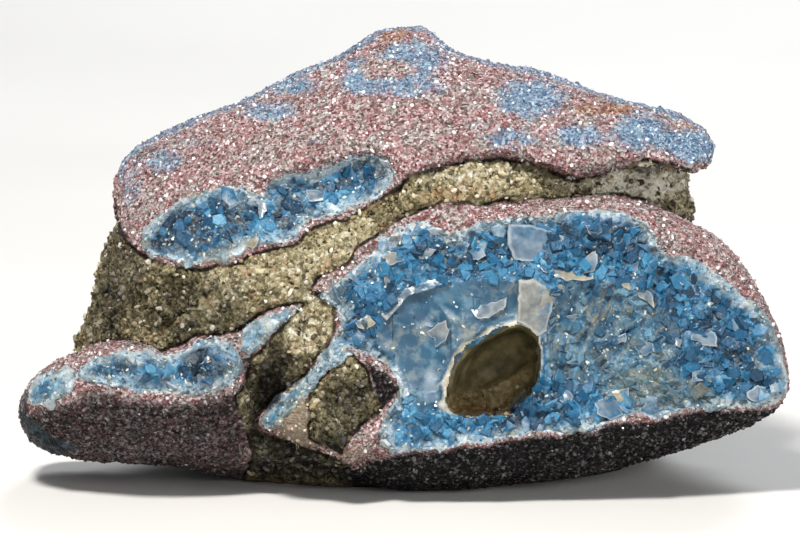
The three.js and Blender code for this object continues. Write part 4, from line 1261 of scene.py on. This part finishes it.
class AGATE_OT_stone(bpy.types.Operator):
    """Build the skin of the whole stone, with its broken agate, rind, rock and hollow"""
    bl_idname = "agate.stone"
    bl_label = "Stone"

    def execute(self, context):
        sizes = context.scene.agate_stone
        shell = bmesh.new()
        shell.from_mesh(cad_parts[NODE].data)
        bmesh.ops.remove_doubles(shell, verts=shell.verts, dist=2e-6)
        mesh = bpy.data.meshes.new("agate_skin")
        shell.to_mesh(mesh)
        shell.free()
        piece = new_piece("agate_skin", mesh, stone_material())
        even = piece.modifiers.new("Even", "REMESH")
        even.mode = "VOXEL"
        even.voxel_size = sizes.grid
        soft = piece.modifiers.new("Soft", "SMOOTH")
        soft.factor = 0.5
        soft.iterations = 5
        made_plain(piece)
        eased_ledge(piece.data)
        # The broken faces are laid on the stone as it is before its relief.
        piece.data.copy().name = "even_stone"
        place = places_of(piece.data)
        normal = normals_of(piece.data)
        lifted = place + normal * (skin_heights(place, normal) * sizes.relief)[:, None]
        moved(piece.data, kept_in_box(lifted))
        thinned(piece, sizes.triangles)
        mesh = piece.data
        for name, values in zones(places_of(mesh), normals_of(mesh)).items():
            store(mesh, name, values)
        shaded(mesh, 32)
        joined_to_stone(piece)
        return {"FINISHED"}


class AGATE_OT_faces(bpy.types.Operator):
    """Build the broken faces of the agate, chipped all over"""
    bl_idname = "agate.faces"
    bl_label = "Broken faces"

    def execute(self, context):
        sizes = context.scene.agate_faces
        even = bpy.data.meshes.get("even_stone")
        if even is None:
            raise RuntimeError("the stone has to be built before its broken faces")
        skin = BVHTree.FromPolygons([v.co for v in even.vertices], [f.vertices for f in even.polygons])
        pitch = sizes.grid / MM
        xs, zs = np.arange(-47.0, 47.4, pitch), np.arange(0.6, 42.5, pitch)
        x, z = (grid.ravel() for grid in np.meshgrid(xs, zs))
        flat = np.column_stack((x, np.zeros(len(x)), z))
        u, w = x + 0.16 * wander(flat, 0.8, 401), z + 0.16 * wander(flat, 0.8, 402)
        windows = inside_any(BLUES, u, w)
        mouth = inside_by(HOLLOW_MOUTH, u, w)
        within = (windows > -0.35) & (mouth < 0.0)
        base = np.full(len(x), np.nan)
        base[within] = struck(skin, np.column_stack((x, z))[within])
        within &= np.isfinite(base) & (base < 4)

        front = np.column_stack((x, np.nan_to_num(base), z))
        of = zones(to_upright(front), np.tile(-np.array(INTO), (len(x), 1)))
        chance = np.random.default_rng(9)
        inside = np.flatnonzero(within)
        rough = np.clip(1 - 0.97 * np.maximum(of["smooth"], of["facet"]), 0, 1)
        crushed = eased(wander(front, 5.0, 77, 2), -0.1, 0.5)

        def fan(across, up):
            """The way from where the break started, as an angle."""
            return math.atan2(up - BREAK_STARTS[1], across - BREAK_STARTS[0])

        def scars(kind, seed, chosen, turned=None):
            """Scars of a kind on the chosen places of the grid."""
            count, size, depth = SCARS[kind]
            picked = chance.choice(chosen, count)
            spots = np.column_stack((x[picked], z[picked])) + chance.uniform(-pitch, pitch, (count, 2))
            return [grid.ravel() for grid in scarred(xs, zs, spots, size, depth, seed, turned)]

        broad, broad_ridge, broad_number = scars("broad", 1, inside, fan)
        middle, ridge, number = scars("middle", 2, inside, fan)
        small, small_ridge, small_number = scars("small", 3, inside[rough[inside] > 0.5])
        tiny = scars("tiny", 4, inside[(rough * crushed)[inside] > 0.4])[0]
        deep = (broad - 0.6 + rough * (middle - 0.4 + small - 0.17 + tiny + 0.05 * wander(front, 0.7, 55, 2))
                + 0.05 * wander(front, 1.5, 56, 2))
        lip = 0.2 * np.exp(-((mouth + 0.5) / 0.5) ** 2)
        depth = base + deep * sizes.relief * eased(windows, -0.3, 0.35) * eased(-mouth, 0.1, 1.0) - lip
        depth += 0.45 * (1 - eased(windows, -0.35, 0.1))

        of["chip"] = 0.6 * number + 0.4 * broad_number
        of["small_chip"] = small_number
        of["arris"] = np.maximum(0.8 * broad_ridge, np.maximum(0.7 * ridge, 0.45 * small_ridge))
        of["rough"] = rough
        # Painted shade for the hollows of the chips: the deeper, the darker.
        sunk = 2.2 * (small - 0.17) + 1.0 * (middle - 0.4) + 2.0 * (tiny - 0.1)
        of["sunk"] = np.clip(sunk * rough, -1, 1)
        used, faces = closed_plate(within, (len(zs), len(xs)))
        shown = np.column_stack((x, depth, z))[used]
        behind = np.column_stack((x, base + 2.0, z))[used]
        mesh = bpy.data.meshes.new("agate_faces")
        mesh.from_pydata((kept_in_box(to_upright(np.vstack((shown, behind)))) * MM).tolist(), [], faces.tolist())
        for name, value in of.items():
            store(mesh, name, np.tile(value[used], 2))
        shell = bmesh.new()
        shell.from_mesh(mesh)
        bmesh.ops.triangulate(shell, faces=shell.faces)
        closed(shell, mesh)
        piece = new_piece("agate_faces", mesh, broken_material())
        thinned(piece, sizes.triangles)
        shaded(piece.data, 30)
        bpy.data.meshes.remove(even)
        joined_to_stone(piece)
        return {"FINISHED"}


class AGATE_OT_flakes(bpy.types.Operator):
    """Lay the pale flakes on the broken faces"""
    bl_idname = "agate.flakes"
    bl_label = "Flakes"

    def execute(self, context):
        graph = context.evaluated_depsgraph_get()
        faces = BVHTree.FromObject(bpy.data.objects["agate_faces"], graph)
        shell = bmesh.new()
        cream_of, rim_of, fade_of = (shell.verts.layers.float.new(name) for name in ("cream", "rim", "fade"))
        for number, (outline, thick, cream, lean, tip) in enumerate(FLAKES):
            corners = np.array(outline)
            middle = corners.mean(0)
            points = np.vstack((corners, middle))
            depths = struck(faces, points)
            met = np.isfinite(depths)
            if met.sum() < 3:
                raise RuntimeError(f"flake {number} lies past the broken faces")
            seats = np.column_stack((points - middle, np.ones(len(points))))[met]
            slope_x, slope_z, depth = np.linalg.lstsq(seats, depths[met], rcond=None)[0]
            slope_x = np.clip(slope_x, -0.5, 0.5) + math.tan(math.radians(lean))
            slope_z = np.clip(slope_z, -0.5, 0.5) + math.tan(math.radians(tip))
            ring = []
            for a, b in zip(corners, np.roll(corners, -1, 0)):
                steps = max(2, int(np.hypot(*(b - a)) / 0.22))
                ring += [a + (b - a) * n / steps for n in range(steps)]
            ring = np.array(ring)
            seat = np.column_stack((ring[:, 0], np.zeros(len(ring)), ring[:, 1]))
            ring = ring + 0.2 * np.stack([wander(seat, 0.7, 100 + number, 2), wander(seat, 0.7, 200 + number, 2)], 1)
            rows = []
            for inset, lift, share, rim in FLAKE_RINGS:
                at = middle + (ring - middle) * inset
                flat = np.column_stack((at[:, 0], np.zeros(len(at)), at[:, 1]))
                deep = (depth + slope_x * (at[:, 0] - middle[0]) + slope_z * (at[:, 1] - middle[1])
                        + (lift + share * thick) + 0.16 * wander(flat, 1.3, 300 + number, 2))
                spots = kept_in_box(to_upright(np.column_stack((at[:, 0], deep, at[:, 1])))) * MM
                row = [shell.verts.new(spot) for spot in spots]
                across = (at - middle) @ np.array((math.sin(2.4 * number), math.cos(2.4 * number)))
                for vert, far in zip(row, across / np.abs(corners - middle).max()):
                    vert[cream_of] = cream
                    vert[rim_of] = rim
                    vert[fade_of] = 0.45 + 0.55 * far
                rows.append(row)
            for low, high in zip(rows, rows[1:]):
                for n in range(len(low)):
                    shell.faces.new((low[n - 1], low[n], high[n], high[n - 1]))
            shell.faces.new(rows[-1])
            shell.faces.new(rows[0][::-1])
        bmesh.ops.triangulate(shell, faces=[face for face in shell.faces if len(face.verts) > 4])
        mesh = bpy.data.meshes.new("agate_flakes")
        closed(shell, mesh)
        piece = new_piece("agate_flakes", mesh, flake_material())
        shaded(mesh, 24)
        joined_to_stone(piece)
        return {"FINISHED"}


class AGATE_OT_grains(bpy.types.Operator):
    """Strew grains on the rock, crystals on the rind and shards on the broken faces"""
    bl_idname = "agate.grains"
    bl_label = "Grains"

    def execute(self, context):
        sizes = context.scene.agate_grains
        skin, faces = bpy.data.objects["agate_skin"].data, bpy.data.objects["agate_faces"].data
        lump = strewing("grains", "GeometryNodeMeshIcoSphere", {"Radius": 0.5, "Subdivisions": 1})
        splinter = strewing("splinters", "GeometryNodeMeshCone", {
            "Vertices": 5, "Radius Top": 0.4, "Radius Bottom": 0.5, "Depth": 0.15})
        sliver = strewing("slivers", "GeometryNodeMeshCone", {
            "Vertices": 3, "Radius Top": 0.36, "Radius Bottom": 0.5, "Depth": 0.15})
        seen = 0.25 + 0.75 * eased(-turned_to_front(normals_of(skin))[:, 1], 0.0, 0.3)
        sheet, blue, down_in = stored(skin, "sheet"), stored(skin, "blue"), stored(skin, "hollow")
        height = places_of(skin)[:, 2]
        solid = (down_in <= 0) & (height > 1.6) & (stored(skin, "glass") < 0.3)
        across, _, up = to_front(places_of(skin)).T
        druse = (down_in > 0.5) * (up < 12.6) * (across > 9.5)
        strewn("rock_grains", skin, seen * solid * (sheet < -0.15) + druse, lump,
               sizes.rock_count, sizes.rock_grain, 0.3, 1.5, 3, grain_material("rock_grain", 0.7))
        strewn("rind_crystals", skin, seen * solid * (sheet > 0.15) * (blue < -0.1), lump,
               sizes.rind_count, sizes.rind_crystal, 0.35, 1.5, 4, grain_material("rind_crystal", 0.3, 0.3))

        to_view = turned_to_front(normals_of(faces))[:, 1] < -0.3
        rough, mouth = stored(faces, "rough"), stored(faces, "mouth")
        across, _, up = to_front(places_of(faces)).T
        large = eased(inside_by(LARGE_BLUE, across, up), -0.5, 0.5)
        bare = np.clip(rough - 0.2, 0, 1) * (mouth < -0.9) * (0.4 + 0.6 * large)
        bare = bare * (0.12 + 0.88 * eased(stored(faces, "blue"), 0.3, 1.6)) * (1 - 0.6 * stored(faces, "bowl"))
        for name, shape, seed in (("agate_shards", splinter, 5), ("agate_slivers", sliver, 7)):
            strewn(name, faces, to_view * bare, shape,
                   sizes.shard_count / 2, sizes.shard, 0.12, 0.26, seed, shard_material())
        flecked = to_view * (mouth < -0.5) * (0.3 + 0.7 * rough) * (1.5 - 0.5 * large)
        strewn("pale_flecks", faces, flecked, splinter,
               sizes.fleck_count, sizes.fleck, 0.3, 0.8, 6, grain_material("pale_fleck", 0.35, 0.1))
        return {"FINISHED"}


class AGATE_OT_stage(bpy.types.Operator):
    """Set the floor, the lights and the camera"""
    bl_idname = "agate.stage"
    bl_label = "Stage"

    def execute(self, context):
        scene = context.scene
        sizes = scene.agate_stage
        sheet = bmesh.new()
        for x, y in ((-1, -1), (1, -1), (1, 1), (-1, 1)):
            sheet.verts.new((x * FLOOR_REACH, y * FLOOR_REACH, 0.0))
        sheet.faces.new(sheet.verts)
        mesh = bpy.data.meshes.new("pale_floor")
        sheet.to_mesh(mesh)
        sheet.free()
        floor = bpy.data.objects.new("pale_floor", mesh)
        scene.collection.objects.link(floor)
        mesh.materials.append(floor_material())

        world = bpy.data.worlds.new("studio")
        world.use_nodes = True
        sky = world.node_tree.nodes["Background"].inputs
        sky["Color"].default_value = (0.86, 0.9, 1.0, 1.0)
        sky["Strength"].default_value = 0.16
        scene.world = world
        for name, spot, size, power, tint in LAMPS:
            lamp = bpy.data.lights.new(name, "AREA")
            lamp.size = size
            lamp.energy = power
            lamp.color = tint
            holder = bpy.data.objects.new(name, lamp)
            holder.location = spot
            holder.rotation_euler = (LAMPS_AIM_AT - Vector(spot)).to_track_quat("-Z", "Y").to_euler()
            scene.collection.objects.link(holder)
        eye = bpy.data.cameras.new("camera")
        eye.sensor_width = SENSOR_WIDTH
        eye.lens = SENSOR_WIDTH * sizes.distance / sizes.view_width
        eye.clip_end = 20
        camera = bpy.data.objects.new("camera", eye)
        camera.location = Vector(to_upright([CAMERA_AIMS_AT])[0] * MM) - INTO * sizes.distance
        camera.rotation_euler = INTO.to_track_quat("-Z", "Y").to_euler()
        scene.collection.objects.link(camera)
        scene.camera = camera
        scene.view_settings.view_transform = "Standard"
        return {"FINISHED"}


SETTINGS = {
    "agate_stone": AgateStone, "agate_faces": AgateFaces, "agate_grains": AgateGrains, "agate_stage": AgateStage,
}
OPERATORS = (AGATE_OT_stone, AGATE_OT_faces, AGATE_OT_flakes, AGATE_OT_grains, AGATE_OT_stage)


class AGATE_PT_panel(bpy.types.Panel):
    """Builds the agate specimen"""
    bl_label = "Agate"
    bl_idname = "AGATE_PT_panel"
    bl_space_type = "VIEW_3D"
    bl_region_type = "UI"
    bl_category = "Agate"

    def draw(self, context):
        for settings, kind in SETTINGS.items():
            for name in kind.__annotations__:
                self.layout.prop(getattr(context.scene, settings), name)
        for operator in OPERATORS:
            self.layout.operator(operator.bl_idname)


CLASSES = (*SETTINGS.values(), *OPERATORS, AGATE_PT_panel)


def register():
    """Makes the classes and the settings known to Blender."""
    for kind in CLASSES:
        bpy.utils.register_class(kind)
    for settings, kind in SETTINGS.items():
        setattr(bpy.types.Scene, settings, bpy.props.PointerProperty(type=kind))


def unregister():
    """Takes them back."""
    for settings in SETTINGS:
        delattr(bpy.types.Scene, settings)
    for kind in reversed(CLASSES):
        bpy.utils.unregister_class(kind)


def main():
    """Builds the stone and its stage."""
    register()
    bpy.ops.agate.stone()
    bpy.ops.agate.faces()
    bpy.ops.agate.flakes()
    bpy.ops.agate.grains()
    bpy.ops.agate.stage()


if __name__ == "__main__":
    main()
